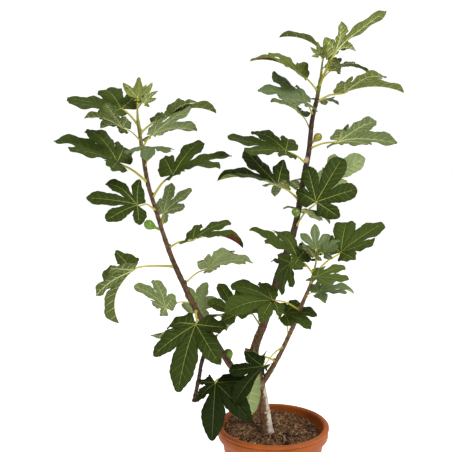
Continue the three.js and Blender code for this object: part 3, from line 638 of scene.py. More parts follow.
def addBlade(bundle, leaf, slots):
    length, random = leaf["length"], leaf["random"]
    place = bladePlace(leaf)
    bounds, notches = lobeBounds(leaf)
    grids, flatFaces, kinds, total = [], [], [], 0
    for i, lobe in enumerate(leaf["lobes"]):
        bend = length * (random() * leafForm["bendSpread"] + leafForm["bendLow"])
        phase = random() * 6.28
        columns, strips = bladeColumns(leaf, lobe)
        for side in (1, -1):
            notch = notches[i if side > 0 else i + 1]
            outline = lobeOutline(leaf, bounds, notch, i, side)
            grids.append(halfLobe(leaf, lobe, outline, notch, columns, strips, side, bend, phase))
            faces, faceKinds = lobeCells(columns, strips, total, side)
            flatFaces += faces
            kinds += faceKinds
            total += len(grids[-1][1])
    # weld the seams, veins and tips
    spots, lifts, sinks = [np.concatenate(parts) for parts in zip(*grids)]
    _, kept, same = np.unique(np.round(spots, 3), axis=0, return_index=True, return_inverse=True)
    same = same.ravel()
    spots, lifts, sinks = spots[kept], lifts[kept], sinks[kept]
    count = len(spots)
    halfThick = leafForm["thickness"] / 2 * min(1.0, max(0.7, length / 120))
    upper = place(spots[:, 0], spots[:, 1], lifts + halfThick - sinks * leafForm["topGroove"])
    lower = place(spots[:, 0], spots[:, 1], lifts - halfThick - sinks)
    topFinishes = (leaf["top"], "mainVein", "sideVein")  # blade, main vein, side vein
    if leaf["top"] == "shade":  # leaves with painted shade have their veins painted darker too
        topFinishes = ("shade", "sideVein", "deep")
    faces, finishes, rims = [], [], {}
    for corners, kind in zip(flatFaces, kinds):
        ids = []
        for corner in corners:
            k = int(same[corner])
            if not ids or ids[-1] != k:
                ids.append(k)
        if len(ids) > 1 and ids[0] == ids[-1]:
            ids.pop()
        if len(ids) < 3 or len(set(ids)) != len(ids):
            continue
        topSlot = slots[topFinishes[kind]]
        underSlot = slots["under" + leaf["under"]] if kind == 0 else slots["underVein"]
        if leaf["scorch"]:
            x, y, reach = leaf["scorch"]
            if math.dist(spots[ids].mean(axis=0) / length, (x, y)) < reach:
                topSlot = underSlot = slots["scorched"]
        faces += [tuple(ids), tuple(k + count for k in reversed(ids))]
        finishes += [topSlot, underSlot]
        for a, b in zip(ids, ids[1:] + ids[:1]):
            if (b, a) in rims:
                del rims[(b, a)]
            else:
                rims[(a, b)] = topSlot
    for (a, b), slot in rims.items():
        faces.append((a, a + count, b + count, b))
        finishes.append(slot)
    addShape(bundle, np.vstack([upper, lower]), faces, finishes)


stalkForm = {"radius": 2.9, "taper": 0.9, "cushion": 0.4, "cushionReach": 4,  # mm at a full blade
             "sides": 8, "steps": 16}


def addStalk(bundle, leaf):
    # from inside the wood, arching a little, to the underside of the blade's foot
    form, length = stalkForm, leaf["length"]
    under = bladePlace(leaf)(np.array([-0.05, 0.05]) * length, np.zeros(2), np.array([-0.6, -1.2]))
    middle = (leaf["start"] + leaf["foot"]) / 2 + np.array([0, 0, leaf["arch"]])
    line = smoothRoute([leaf["start"], middle, *under], form["steps"])
    scale = min(1.1, max(0.6, length / leafForm["fullLength"]))
    along = np.linspace(0, 1, len(line))
    limb = limbs[leaf["on"]]
    surface = limbRadius(limb, shareAt(limb, leaf["at"]))
    cushion = np.exp(-np.abs(along * lineLength(line) - surface) / form["cushionReach"])
    radii = scale * (form["radius"] - form["taper"] * along) * (1 + form["cushion"] * cushion)
    radii = radii * np.where(along > 0.97, 0.5, 1)
    addShape(bundle, *tube(line, radii, form["sides"]), 0)


leaves = [readyLeaf(index, row) for index, row in enumerate(leafRows)]
print("leaves ready:", len(leaves))


# leaf finishes

def leafMaterial(name, colour, roughness, specular, veinlets):
    # fig leaf skin, faintly blotched every 22 mm, with a raised net of veinlets 3.6 mm wide, which is
    # drawn a little coarse so that it shows
    material, tree, shader, place = newMaterial(name, {
        "Roughness": roughness, "Specular IOR Level": specular, "IOR": 1.45})
    red, green, blue, _ = linearColour(colour)
    darker, lighter = [(red * k, green * k, blue * k, 1) for k in (0.84, 1.18)]
    tones = blend(tree, cloudy(tree, place, 22, 3.0), darker, lighter)
    tree.links.new(tones, shader.inputs["Base Color"])
    addRelief(tree, shader, cells(tree, place, 3.6, "DISTANCE_TO_EDGE"), veinlets, 1.0)
    return material


leafFinishes = {
    # upper sides, rough like fine sandpaper and so nearly dull; their tones, from shade through deep,
    # dark and mid to olive, are mostly painted light and shade dealt leaf by leaf, over some real spread
    # from old deep green to young green; the grey ones are a painted sheen, where the wax on the skin
    # catches light at a slant
    # painted shade: the colour of a leaf lying in shadow, given to the leaves that hang in the shade
    "shade": leafMaterial("figLeafPaintedShade", "#1B240A", 0.6, 0.05, 0.35),
    "deep": leafMaterial("figLeafDeep", "#2E3A12", 0.6, 0.07, 0.35),
    "dark": leafMaterial("figLeafDark", "#3A471A", 0.62, 0.05, 0.35),
    "mid": leafMaterial("figLeafMid", "#4A5724", 0.6, 0.08, 0.35),
    "olive": leafMaterial("figLeafOlive", "#5C652A", 0.6, 0.08, 0.35),
    # painted sheen: a paler grey-green for leaves whose waxy skin catches light at a slant
    "grey": leafMaterial("figLeafPaintedSheen", "#55643C", 0.45, 0.3, 0.35),
    "fresh": leafMaterial("figLeafYoung", "#727D34", 0.5, 0.2, 0.2),
    # undersides, paler and duller under a felt of short hairs; their tones from pale to deep are mostly
    # painted light and shade, dealt leaf by leaf
    "undersage": leafMaterial("figLeafUnderSage", "#6A7848", 0.75, 0.1, 0.5),
    "underdeep": leafMaterial("figLeafUnderDeep", "#535F30", 0.75, 0.1, 0.5),
    "underolive": leafMaterial("figLeafUnderOlive", "#6A7236", 0.75, 0.1, 0.5),
    "underpale": leafMaterial("figLeafUnderPale", "#869462", 0.8, 0.1, 0.5),
    "underfresh": leafMaterial("figLeafUnderYoung", "#7C8440", 0.7, 0.15, 0.3),
    # veins, smooth and waxy, yellow-green on top and paler where they stand out underneath
    "mainVein": leafMaterial("leafMainVein", "#8E974B", 0.55, 0.2, 0.1),
    "sideVein": leafMaterial("leafSideVein", "#566630", 0.55, 0.15, 0.1),
    "underVein": leafMaterial("leafUnderVein", "#BFC58C", 0.65, 0.15, 0.1),
    # dried by the sun: brown, papery, no shine
    "scorched": leafMaterial("leafScorched", "#4E2A18", 0.85, 0.1, 0.5),
}
slotOf = {name: i for i, name in enumerate(leafFinishes)}

leafPieces = {
    "leftBoughLeaves": ("left",),
    "rightBoughLeaves": ("right",),
    "sideShootLeaves": ("side",),
    "youngLeaves": ("left_tip", "right_tip", "side_tip"),
}
for pieceName, groups in leafPieces.items():
    bundle = newBundle()
    for leaf in leaves:
        if leaf["on"] in groups:
            addBlade(bundle, leaf, slotOf)
    piece = makePiece(pieceName, bundle, leafFinishes.values())
    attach(piece, "root")
    if pieceName == "youngLeaves":
        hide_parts("left_tip_tuft", "right_tip_tuft", "side_tip_tuft")
    else:
        stem = groups[0] + "_leaf_"
        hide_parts(*[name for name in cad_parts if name.startswith(stem)])
    print(pieceName, len(piece.data.polygons))

stalks = newBundle()
for leaf in leaves:
    addStalk(stalks, leaf)
petiole = leafMaterial("petioleSkin", "#AFA942", 0.45, 0.3, 0.1)  # smooth, waxy, yellow-green
piece = makePiece("leafStalks", stalks, [petiole])
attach(piece, "root")
print("stalks", len(piece.data.polygons))


# bark: every limb, the sawn stub and the buds drawn as tubes, then grown into one skin

barkForm = {
    "voxel": 1.35, "soilLine": 214.0,  # mm
    "limbSeed": 71, "knobSeed": 137,
    "nodeSwell": 0.10, "nodeGap": 27.0, "nodeWidth": 1.8,  # ring scars along the wood
    "outOfRound": (0.05, 0.03), "sides": {"trunk": 20, "right": 20}, "thinSides": 14,
    "spurKnobs": ((0.9, 0.35), (0.97, 0.45), (0.7, 0.2)),  # share along, swelling
    "spurKnobWidth": 0.025,
    "roughness": 0.576, "grain": 0.44,  # relief in mm
    "knobGap": 30.0, "knobReach": 2.4,  # old leaf scars on the bare wood, mm
    "knobRadii": (3.4, 3.6, 3.5, 3.0, 1.9),
    "bareShares": {"left": 0.45, "right": 0.5, "side": 0.7, "spur": 0.9},
    "grownLength": 75,  # shorter leaves have small cushions and no bud yet
    "cushionRadii": (3.6, 3.7, 3.6, 3.4, 3.0, 2.4), "cushionReach": 2.6,
    "budRadii": (1.6, 2.3, 2.4, 2.2, 1.7, 1.0, 0.35), "budLift": 4.2,
    "youngFrom": {"left": 0.87, "right": 0.93, "side": 0.93},  # share where the green wood starts
    "paleSideFrom": 0.55, "paleSideEdge": 3.5, "trunkRelief": 1.35,
    "woodTones": {"trunk": 0.6, "left": 0.25, "side": 0.5, "spur": 0.0}, "tipTone": 0.4,
}
stub = {"at": 426, "heading": 172, "rise": 12, "length": 25,
        "radii": 8.0 * np.array([1, 1, 1, 1, 1.02, 1.06, 1.1, 1.12, 1.02])}


def addLimb(bundle, number, limbName):
    # never quite round, with a low swelling at each ring scar
    form, limb = barkForm, limbs[limbName]
    random = seededNumbers(number + form["limbSeed"])
    line = limb["line"]
    if limbName == "trunk":
        line = line[line[:, 2] > form["soilLine"]]
    share = np.linspace(1 - (len(line) - 1) / routeSteps, 1, len(line))
    run = share * lineLength(limb["line"])
    radii = limbRadius(limb, share)
    if "tip" not in limbName:
        place, rings = 8 + 10 * random(), np.zeros(len(run))
        while place < run[-1]:
            rings = rings + (0.6 + 0.8 * random()) * np.exp(-((run - place) / form["nodeWidth"]) ** 2)
            place += form["nodeGap"] * (0.55 + 0.9 * random())
        radii = radii * (1 + form["nodeSwell"] * rings)
    if limbName == "spur":  # knobbly where it died back
        for middle, swell in form["spurKnobs"]:
            radii = radii * (1 + swell * np.exp(-((share - middle) / form["spurKnobWidth"]) ** 2))
    sides = form["sides"].get(limbName, form["thinSides"])
    angles = np.linspace(0, 2 * math.pi, sides, endpoint=False)[None, :]
    oval, threeSided = form["outOfRound"]
    lobed = 1 + oval * np.sin(2 * angles + 0.02 * run[:, None] + number) \
        + threeSided * np.sin(3 * angles - 0.035 * run[:, None])
    addShape(bundle, *tube(line[::3], (radii[:, None] * lobed)[::3], sides), 0)


def addKnobs(bundle, limbName, bareShare):
    form, limb = barkForm, limbs[limbName]
    random = seededNumbers(len(limbName) + form["knobSeed"])
    length = lineLength(limb["line"])
    run = form["knobGap"] * 1.5
    while run < bareShare * length:
        share = run / length
        centre = limb["line"][int(share * routeSteps)]
        out = direction(360 * random(), 25 - 20 * random())
        reach = limbRadius(limb, share) + form["knobReach"] * (0.5 + 0.6 * random())
        knob = np.array([centre + out * d for d in np.linspace(0, reach, 5)])
        addShape(bundle, *tube(knob, form["knobRadii"], 10), 0)
        run += form["knobGap"] * (0.5 + 0.8 * random())


def addCushion(bundle, leaf):
    # the cushion of bark under a leaf stalk, and the bud in its angle
    form, limb = barkForm, limbs[leaf["on"]]
    radius = limbRadius(limb, shareAt(limb, leaf["at"]))
    out = direction(*leaf["stalk"][:2])
    grown = leaf["length"] > form["grownLength"]
    scale = 1.0 if grown else 0.5
    reaches = np.linspace(radius * 0.3, radius + form["cushionReach"] * scale, 6)
    foot = np.array([leaf["start"] + out * d for d in reaches])
    addShape(bundle, *tube(foot, np.array(form["cushionRadii"]) * scale, 10), 0)
    if grown:
        up = np.array([0, 0, 1.0])
        bud = leaf["start"] + out * radius * 0.8 + up * form["budLift"]
        ends = np.array([bud + (out * 0.45 + up) * d for d in np.linspace(-2.0, 5.5, 7)])
        addShape(bundle, *tube(ends, form["budRadii"], 10), 0)


woodTubes = newBundle()
for number, limbName in enumerate(limbs):
    addLimb(woodTubes, number, limbName)
for limbName, bareShare in barkForm["bareShares"].items():
    addKnobs(woodTubes, limbName, bareShare)
stubStart = limbPoint(limbs["right"], stub["at"])
stubEnd = stubStart + direction(stub["heading"], stub["rise"]) * stub["length"]
addShape(woodTubes, *tube(np.linspace(stubStart, stubEnd, 9), stub["radii"], 16), 0)
for leaf in leaves:
    addCushion(woodTubes, leaf)

rough = makePiece("woodTubes", woodTubes, [])
skin = rough.modifiers.new("grownTogether", "REMESH")
skin.mode = "VOXEL"
skin.voxel_size = barkForm["voxel"] * millimetre
soften = rough.modifiers.new("softened", "SMOOTH")
soften.factor = 0.5
soften.iterations = 2
barkMesh = evaluatedMesh(rough)
bpy.data.objects.remove(rough)

count = len(barkMesh.vertices)
spots, normals = np.empty(count * 3), np.empty(count * 3)
barkMesh.vertices.foreach_get("co", spots)
barkMesh.vertex_normals.foreach_get("vector", normals)
spots = spots.reshape(-1, 3) / millimetre
normals = normals.reshape(-1, 3)

# which limb each point of the skin belongs to, and how far along it
samples, owners = [], []
for limbName, limb in limbs.items():
    line = limb["line"][::2]
    samples.append(line)
    owners += [(limbName, k / (len(line) - 1)) for k in range(len(line))]
samples = np.vstack(samples)
limbFinder = kdtree.KDTree(len(samples))
for k, spot in enumerate(samples):
    limbFinder.insert(spot, k)
limbFinder.balance()
nearest = [limbFinder.find(spot)[1] for spot in spots]
ownerName = np.array([owners[k][0] for k in nearest])
ownerShare = np.array([owners[k][1] for k in nearest])
onTrunk = ownerName == "trunk"
outward = spots - samples[nearest]
outward = outward / np.maximum(np.linalg.norm(outward, axis=1), 0.1)[:, None]
broad = np.array([noise.noise(Vector(spot * (0.05, 0.05, 0.022))) for spot in spots])
fine = np.array([noise.noise(Vector(spot * 0.22)) for spot in spots])

youngWood = np.where(np.char.endswith(ownerName, "_tip"), 1.0, 0.0)
for limbName, start in barkForm["youngFrom"].items():
    rising = np.clip((ownerShare - start) / (1 - start), 0, 1) * 0.95
    youngWood = np.where(ownerName == limbName, rising, youngWood)
# the trunk's right-hand front is paler grey, in a broken edge
facing = outward[:, 0] - 0.35 * outward[:, 1]
paleSide = facing + 0.3 * broad + 0.5 * fine - barkForm["paleSideFrom"]
greyWood = np.where(onTrunk, np.clip(paleSide * barkForm["paleSideEdge"], 0, 1), 0)


# bare pale wood: the sawn stub, a scar on the right bough and a rubbed place at the fork, each with
# its middle, its strength there, its reach in mm, how broken its edge is and how pale it gets
paleSpots = [
    (stubEnd, 1.2, 14, 0, 1),
    (limbPoint(limbs["right"], 905) + np.array([-4, -7, 0]), 1.5, 6.5, 0, 1),
    (limbPoint(limbs["trunk"], 354) + np.array([-1, -12, 0]), 1.5, 11, 0.4, 0.55),
]
cutWood = np.zeros(count)
for centre, strength, reach, broken, pale in paleSpots:
    patch = strength - np.linalg.norm(spots - centre, axis=1) / reach + broken * fine
    cutWood = np.maximum(cutWood, pale * np.clip(patch, 0, 1))
tones = np.array([barkForm["woodTones"].get(name, barkForm["tipTone"]) for name in ownerName])
tones = np.where(ownerName == "right", 0.7 * np.clip(1 - 3 * ownerShare, 0, 1), tones)  # paler foot

relief = barkForm["roughness"] * broad + barkForm["grain"] * fine
push = (1 - youngWood) * np.where(onTrunk, barkForm["trunkRelief"], 1.0) * relief
barkMesh.vertices.foreach_set("co", ((spots + normals * push[:, None]) * millimetre).ravel())
barkReadings = {"youngWood": youngWood, "greyWood": greyWood, "cutWood": cutWood, "woodTone": tones}
for name, values in barkReadings.items():
    layer = barkMesh.attributes.new(name, "FLOAT", "POINT")
    layer.data.foreach_set("value", values.astype(np.float32))

# fig bark: smooth and dull, darker in its grooves, green where it is young, pale grey on one
# side of the trunk; streaks 4 mm wide run up the wood and patches are 17 mm wide
barkPaint, tree, shader, place = newMaterial("figBark", {"Roughness": 0.78, "Specular IOR Level": 0.25})
streaks = cloudy(tree, stretched(tree, place, (1, 1, 0.35)), 3.8, 4.0)
patches = cloudy(tree, place, 17, 3.0)
reading = {name: addNode(tree, "ShaderNodeAttribute", attribute_name=name).outputs["Fac"]
           for name in barkReadings}
grooves = sharpened(tree, streaks, 0.35, 0.65)
darkWood = blend(tree, grooves, "#291D14", "#4E3B29")
lightWood = blend(tree, grooves, "#5E4530", "#9A7450")
wood = blend(tree, reading["woodTone"], darkWood, lightWood)
grey = blend(tree, sharpened(tree, patches, 0.4, 0.62), "#968B7B", "#C8BEAE")
wood = blend(tree, reading["greyWood"], wood, grey)
wood = blend(tree, reading["youngWood"], wood, blend(tree, patches, "#70742C", "#8C9040"))
wood = blend(tree, reading["cutWood"], wood, "#B9A385")
tree.links.new(wood, shader.inputs["Base Color"])
addRelief(tree, shader, streaks, 0.7, 0.8)

barkMesh.materials.clear()
barkMesh.materials.append(barkPaint)
barkMesh.polygons.foreach_set("use_smooth", [True] * len(barkMesh.polygons))
piece = linkMesh("barkSkin", barkMesh)
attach(piece, "root")
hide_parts("trunk", "left_bough", "right_bough", "side_shoot", "dead_spur")
print("bark", len(piece.data.polygons))


# figs: pear-shaped, faintly ribbed, with a raised eye at the end

figRows = [
    {"on": "left", "at": 742, "heading": 176, "rise": 24, "girth": 24, "skin": "green"},
    {"on": "left", "at": 403, "heading": 165, "rise": 76, "girth": 23, "skin": "green"},
    {"on": "left", "at": 575, "heading": -10, "rise": 30, "girth": 9, "skin": "green"},
    {"on": "right", "at": 939, "heading": 14, "rise": 44, "girth": 20, "skin": "ripening"},
    {"on": "right", "at": 760, "heading": -100, "rise": 42, "girth": 21, "skin": "green"},
    {"on": "right_tip", "at": 1122, "heading": 0, "rise": 30, "girth": 11, "skin": "green"},
]
figForm = {
    "rings": 26, "sides": 36, "ribs": 9, "ribDepth": 0.025,
    "neck": 0.36, "length": 2, "stalk": 0.13, "eye": 0.15, "eyeHole": 0.05, "eyeDip": 0.035,  # in girths
}


def figShape(row):
    form, girth, axis = figForm, row["girth"], direction(row["heading"], row["rise"])
    share = np.linspace(0, 1, form["rings"]) ** 0.85
    body = np.clip((share - form["neck"]) / (1 - form["neck"]), 0, 1)
    swell = np.sin(math.pi * body ** 1.25) ** 0.8
    radii = girth * (form["stalk"] + (0.5 - form["stalk"]) * swell)
    radii[-1] = girth * form["eyeHole"]
    radii[-2] = min(radii[-2], girth * form["eye"])
    line = limbPoint(limbs[row["on"]], row["at"]) + axis * (share * girth * form["length"])[:, None]
    line[-1] -= axis * girth * form["eyeDip"]
    angles = np.linspace(0, 2 * math.pi, form["sides"], endpoint=False)
    ribs = np.sin(form["ribs"] * angles)[None, :] * np.sin(math.pi * share)[:, None]
    points, faces = tube(line, radii[:, None] * (1 + form["ribDepth"] * ribs), form["sides"])
    skin = {"green": 0, "ripening": 1}[row["skin"]]
    lastRing = form["rings"] - 1
    return points, faces, [2 if max(face) // form["sides"] >= lastRing else skin for face in faces]


def figSkin(name, colour, flushed):
    # unripe fig skin: taut and waxy, so it shines; clouded every 11 mm, and speckled with pale dots
    # 2.4 mm apart, coarser than life so that they show
    material, tree, shader, place = newMaterial(name, {"Roughness": 0.34, "Specular IOR Level": 0.5})
    tone = blend(tree, cloudy(tree, place, 11, 2.0), colour, flushed)
    tone = blend(tree, sharpened(tree, cells(tree, place, 2.4), 0.16, 0.1), tone, "#9BAF58")
    tree.links.new(tone, shader.inputs["Base Color"])
    return material


figs = newBundle()
for row in figRows:
    addShape(figs, *figShape(row))
figFinishes = [figSkin("unripeFigSkin", "#46690F", "#769527"),
               figSkin("turningFigSkin", "#5E7E1C", "#B08E38"),
               figSkin("figEye", "#6B5A1E", "#8A4A22")]
piece = makePiece("figs", figs, figFinishes)
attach(piece, "root")
print("figs", len(piece.data.polygons))


# pot: the turned profile of the solid, finer, in mm

potForm = {
    "height": 246, "rim": 140, "base": 92, "wall": 12, "floor": 14, "rimHeight": 33, "rimStep": 12,
    "bead": 5.5, "beadReach": 7.5, "beadStep": 2, "beadFoot": 6, "lipDrop": 14, "sides": 160,
    "wobble": 0.35,  # out of round, as thrown by hand
}
shoulder = potForm["height"] - potForm["rimHeight"]
band = potForm["rim"] - potForm["beadStep"]
beadCentre = potForm["height"] - potForm["bead"]
lip = shoulder - potForm["lipDrop"]


def wallRadius(z):
    return potForm["base"] + (potForm["rim"] - potForm["rimStep"] - potForm["base"]) * z / shoulder


def innerRadius(z):
    # above the lip the inside slants out to the bead
    if z <= lip:
        return wallRadius(z) - potForm["wall"]
    slant = (z - lip) / (beadCentre - potForm["beadFoot"] - lip)
    return wallRadius(lip) - potForm["wall"] + (
        potForm["rim"] - potForm["beadReach"] * 2 - wallRadius(lip) + potForm["wall"]) * slant


def turned(profile, sides, wobble):
    # profile runs from the axis round to the axis again
    angles = np.linspace(0, 2 * math.pi, sides, endpoint=False)
    rings = []
    for radius, z in profile[1:-1]:
        uneven = [noise.noise(Vector((math.cos(a) * 2, math.sin(a) * 2, z * 0.06))) - 0.5 for a in angles]
        r = radius + wobble * np.array(uneven)
        rings.append(np.column_stack([r * np.cos(angles), r * np.sin(angles), np.full(sides, z)]))
    points = np.vstack([*rings, [[0, 0, profile[0][1]]], [[0, 0, profile[-1][1]]]])
    return points, ringFaces(len(rings), sides)


# foot and wall, shoulder and band, bead, slanted lip, inner wall and floor
profile = [(0, 0), (potForm["base"] - 4, 0), (potForm["base"] - 1.2, 1), (potForm["base"] + 0.2, 3.4)]
profile += [(wallRadius(z), z) for z in np.linspace(8, shoulder - 1.5, 26)]
profile += [(wallRadius(shoulder) + 1.2, shoulder), (band - 3.4, shoulder + 1.2),
            (band - 1.0, shoulder + 3.2), (band - 0.1, shoulder + 6.5), (band, shoulder + 12),
            (band, beadCentre - 9), (band - 0.3, beadCentre - 6.6)]
for k in range(14):
    angle = math.pi * (-0.35 + 1.3 * k / 13)
    profile.append((potForm["rim"] + potForm["beadReach"] * (math.cos(angle) - 1),
                    beadCentre + potForm["bead"] * math.sin(angle)))
slantHeights = lip + (beadCentre - potForm["beadFoot"] - lip) * np.array([0.94, 0.75, 0.5, 0.25, 0.08])
innerHeights = [*slantHeights, *np.linspace(lip - 4, potForm["floor"] + 3, 12)]
profile += [(innerRadius(z), z) for z in innerHeights]
profile += [(innerRadius(potForm["floor"]) - 2.5, potForm["floor"]), (0, potForm["floor"])]
potShape = newBundle()
addShape(potShape, *turned(profile, potForm["sides"], potForm["wobble"]), 0)

# fired clay, thrown on a wheel: nearly matt and sandy, drifting between redder and paler patches
# 110 mm wide, with turning lines 3 mm apart and sand of 2.4 mm, coarser than life so that they show
clay, tree, shader, place = newMaterial("terracotta", {"Roughness": 0.5, "Specular IOR Level": 0.2})
drift = cloudy(tree, place, 110, 4.0)
sand = cloudy(tree, place, 2.4, 3.0)
turningLines = cloudy(tree, stretched(tree, place, (0.02, 0.02, 1)), 3.1, 2.0)
clayTone = blend(tree, sharpened(tree, drift, 0.35, 0.68), "#7A370B", "#964B12")
clayTone = blend(tree, sharpened(tree, sand, 0.55, 0.75), clayTone, "#B0642C")
tree.links.new(clayTone, shader.inputs["Base Color"])
clayRelief = addNode(tree, "ShaderNodeMath", {0: sand, 1: turningLines}, operation="ADD")
addRelief(tree, shader, clayRelief.outputs[0], 0.35, 0.4)
piece = makePiece("clayPot", potShape, [clay], 40)
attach(piece, "root")
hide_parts("pot")
print("pot", len(piece.data.polygons))


# soil: a closed mound with lumps, strewn with crumbs, clods, chips and straw

soilForm = {
    "rings": 60, "sides": 160, "top": 224.0, "edge": 219.0, "crown": 34.0,
    "backRise": 15.0, "leftRise": 8.0, "lumps": 3.4, "grit": 2.2, "calmRadius": 40,
    "lumpPitch": 0.035, "gritPitch": 0.16,  # lumps about 30 mm wide, grit about 6 mm
    "edgeGap": 0.4, "depths": (190, 100, 15), "gap": 0.6,  # gaps to the wall; heights of lower rings
}


def soilHeight(x, y):
    # flat round the trunk, then heaped up to the back and the left
    radius = math.hypot(x, y)
    reach = innerRadius(soilForm["edge"])
    out = min(1, max(0, (radius - soilForm["crown"]) / (reach - soilForm["crown"])))
    z = soilForm["top"] - (soilForm["top"] - soilForm["edge"]) * out
    z += out * (soilForm["backRise"] * y - soilForm["leftRise"] * x) / max(radius, 1)
    calm = min(1, max(0.25, radius / soilForm["calmRadius"]))
    z += calm * soilForm["lumps"] * noise.fractal(
        Vector((x, y, 0)) * soilForm["lumpPitch"], 0.7, 2.2, 4)
    z += soilForm["grit"] * noise.fractal(
        Vector((x, y, 40)) * soilForm["gritPitch"], 0.6, 2.1, 3)
    return z


def soilReach(angle):
    # where the soil's surface meets the wall
    reach = innerRadius(soilForm["edge"])
    for _ in range(3):
        reach = innerRadius(soilHeight(reach * math.cos(angle), reach * math.sin(angle)))
    return reach - soilForm["edgeGap"]


sides = soilForm["sides"]
angles = np.linspace(0, 2 * math.pi, sides, endpoint=False)
reaches = [soilReach(a) for a in angles]
points = [(0, 0, soilHeight(0, 0))]
for share in np.linspace(0, 1, soilForm["rings"] + 1)[1:] ** 0.9:
    for a, reach in zip(angles, reaches):
        x, y = reach * share * math.cos(a), reach * share * math.sin(a)
        points.append((x, y, soilHeight(x, y)))
faces = [(0, 1 + j, 1 + (j + 1) % sides) for j in range(sides)]
for i in range(soilForm["rings"] - 1):
    for j in range(sides):
        a, b = 1 + i * sides + j, 1 + i * sides + (j + 1) % sides
        faces.append((a, a + sides, b + sides, b))
surfaceBundle = newBundle()
addShape(surfaceBundle, np.array(points), faces, 0)

# the same surface, closed below
ringStart = len(points) - sides
for z in soilForm["depths"]:
    start, radius = len(points), innerRadius(z) - soilForm["gap"]
    points += [(radius * math.cos(a), radius * math.sin(a), z) for a in angles]
    for j in range(sides):
        k = (j + 1) % sides
        faces.append((ringStart + j, start + j, start + k, ringStart + k))
    ringStart = start
points.append((0, 0, soilForm["depths"][-1]))
for j in range(sides):
    faces.append((len(points) - 1, ringStart + (j + 1) % sides, ringStart + j))
soilBundle = newBundle()
addShape(soilBundle, np.array(points), faces, 0)

# potting mix of peat and bark: crumbly in clods of 6 mm with painted shade in the hollows between
# them, and painted shade in dark patches 40 mm wide, nearly without shine
soilPaint, tree, shader, place = newMaterial("pottingMix", {"Roughness": 0.95, "Specular IOR Level": 0.15})
clods = cloudy(tree, place, 6.2, 5.0)
paintedShadePatches = cloudy(tree, place, 40, 3.0)
# painted shade: the low places of the clods, which the bump below also sinks, are painted nearly black
earthWithPaintedShade = blend(tree, sharpened(tree, clods, 0.35, 0.7), "#24170E", "#7C583A")
# painted shade: nearly black patches 40 mm wide
earthWithPaintedShade = blend(tree, sharpened(tree, paintedShadePatches, 0.48, 0.58), earthWithPaintedShade, "#1D120B")
tree.links.new(earthWithPaintedShade, shader.inputs["Base Color"])
addRelief(tree, shader, clods, 0.8, 1.5)
piece = makePiece("pottingMix", soilBundle, [soilPaint], 80)
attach(piece, "root")
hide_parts("soil")
print("soil", len(piece.data.polygons))


def strewn(name, surface, shape, settings, material):
    # points spread in patches 26 mm wide, each taking a turned and scaled copy of the shape
    group = bpy.data.node_groups.new(name + "Nodes", "GeometryNodeTree")
    kinds = {"Surface": "Geometry", "Shape": "Object", "Per Square Metre": "Float", "Seed": "Int",
             "Smallest": "Float", "Largest": "Float", "Tilt": "Float", "Patchiness": "Float",
             "Finish": "Material"}
    sockets = {}
    for title, kind in kinds.items():
        sockets[title] = group.interface.new_socket(
            name=title, in_out="INPUT", socket_type="NodeSocket" + kind)
    group.interface.new_socket(name="Strewn", in_out="OUTPUT", socket_type="NodeSocketGeometry")

    def maths(operation, first, second):
        return addNode(group, "ShaderNodeMath", {0: first, 1: second}, operation=operation).outputs[0]

    given = addNode(group, "NodeGroupInput").outputs
    place = addNode(group, "GeometryNodeInputPosition").outputs[0]
    share = addNode(group, "ShaderNodeMapRange", {
        "Value": cloudy(group, place, 26, 1.0), "From Min": 0.42, "From Max": 0.62,
        "To Min": maths("SUBTRACT", 1.0, given["Patchiness"]),
        "To Max": maths("ADD", 1.0, given["Patchiness"])})
    spread = addNode(group, "GeometryNodeDistributePointsOnFaces", {
        "Mesh": given["Surface"], "Density": maths("MULTIPLY", given["Per Square Metre"], share.outputs[0]),
        "Seed": given["Seed"]})
    low = maths("MULTIPLY", given["Tilt"], -1.0)
    lowTurn = addNode(group, "ShaderNodeCombineXYZ", {0: low, 1: low, 2: 0.0})
    highTurn = addNode(group, "ShaderNodeCombineXYZ", {0: given["Tilt"], 1: given["Tilt"], 2: 2 * math.pi})
    turn = addNode(group, "FunctionNodeRandomValue", {
        0: lowTurn.outputs[0], 1: highTurn.outputs[0], "Seed": given["Seed"]}, data_type="FLOAT_VECTOR")
    size = addNode(group, "FunctionNodeRandomValue", {
        2: given["Smallest"], 3: given["Largest"], "Seed": given["Seed"]}, data_type="FLOAT")
    turnedCopy = addNode(group, "FunctionNodeRotateRotation", {
        0: spread.outputs["Rotation"], 1: turn.outputs[0]}, rotation_space="LOCAL")
    template = addNode(group, "GeometryNodeObjectInfo", {"Object": given["Shape"]})
    copies = addNode(group, "GeometryNodeInstanceOnPoints", {
        "Points": spread.outputs["Points"], "Instance": template.outputs["Geometry"],
        "Rotation": turnedCopy.outputs[0], "Scale": size.outputs[1]})
    real = addNode(group, "GeometryNodeRealizeInstances", {"Geometry": copies.outputs[0]})
    painted = addNode(group, "GeometryNodeSetMaterial", {
        "Geometry": real.outputs[0], "Material": given["Finish"]})
    addNode(group, "NodeGroupOutput", {0: painted.outputs[0]})
    modifier = surface.modifiers.new(name, "NODES")
    modifier.node_group = group
    for title, value in dict(settings, Shape=shape, Finish=material).items():
        modifier[sockets[title].identifier] = value
    mesh = evaluatedMesh(surface)
    surface.modifiers.remove(modifier)
    mesh.name = name
    return linkMesh(name, mesh)


def roughened(points, seed, amount):
    random = seededNumbers(seed)
    return points * (1 + amount * np.array([random() - 0.5 for _ in range(points.size)]).reshape(-1, 3))


def crumbShape():
    line = np.array([[0, 0, z] for z in (-0.6, -0.2, 0.3, 0.65)])
    points, faces = tube(line, (0.6, 1.0, 0.9, 0.5), 6)
    return roughened(points, 5, 0.35), faces


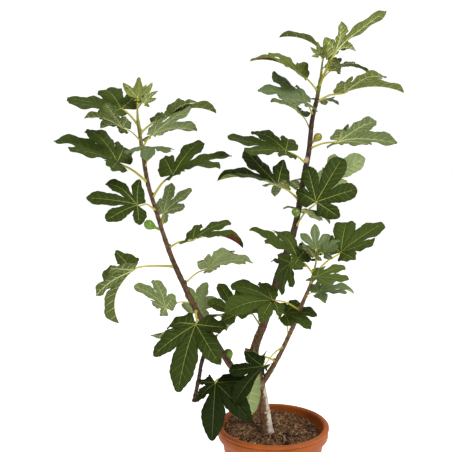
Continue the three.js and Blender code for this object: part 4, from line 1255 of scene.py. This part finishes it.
def chipShape():
    line = np.array([[x, 0, 0.12 * math.sin(x)] for x in (-2.0, -1.0, 0.2, 1.1, 1.9)])
    points, faces = tube(line, (0.35, 0.9, 1.0, 0.8, 0.3), 6)
    return roughened(points * (1, 1, 0.3), 9, 0.3), faces


def strawShape():
    line = np.array([[x, 0.012 * x * x, 0.25 * math.sin(x * 0.4)] for x in np.linspace(-8, 8, 7)])
    return tube(line, (0.25, 0.42, 0.46, 0.42, 0.42, 0.36, 0.2), 4)


def litterPaint(name, dark, light):
    # dry scraps of bark, peat and straw: dull, going from dark to bleached every 8 mm or so
    material, tree, shader, place = newMaterial(name, {"Roughness": 0.9, "Specular IOR Level": 0.2})
    tone = blend(tree, sharpened(tree, cloudy(tree, place, 7.7, 2.0), 0.36, 0.66), dark, light)
    tree.links.new(tone, shader.inputs["Base Color"])
    return material


surface = makePiece("soilSurface", surfaceBundle, [])
litterKinds = [  # sizes in mm
    ("soilCrumbs", crumbShape, {"Per Square Metre": 60000.0, "Seed": 3, "Smallest": 0.6, "Largest": 2.0,
                                "Tilt": 3.0, "Patchiness": 0.5}, ("#2A1A10", "#8E6848")),
    ("soilClods", crumbShape, {"Per Square Metre": 7000.0, "Seed": 17, "Smallest": 2.0, "Largest": 4.2,
                               "Tilt": 3.0, "Patchiness": 0.8}, ("#3A2618", "#7A5436")),
    ("barkChips", chipShape, {"Per Square Metre": 16000.0, "Seed": 7, "Smallest": 0.9, "Largest": 2.8,
                              "Tilt": 0.7, "Patchiness": 0.7}, ("#38261C", "#94704E")),
    ("strawFibres", strawShape, {"Per Square Metre": 6000.0, "Seed": 11, "Smallest": 0.5, "Largest": 1.5,
                                 "Tilt": 0.5, "Patchiness": 1.0}, ("#86684A", "#D6BE98")),
]
for name, shapeOf, settings, colours in litterKinds:
    bundle = newBundle()
    addShape(bundle, *shapeOf(), 0)
    shape = makePiece(name + "Shape", bundle, [], 35)
    piece = strewn(name, surface, shape, settings, litterPaint(name + "Finish", *colours))
    bpy.data.objects.remove(shape)
    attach(piece, "root")
    print(name, len(piece.data.polygons))
bpy.data.objects.remove(surface)
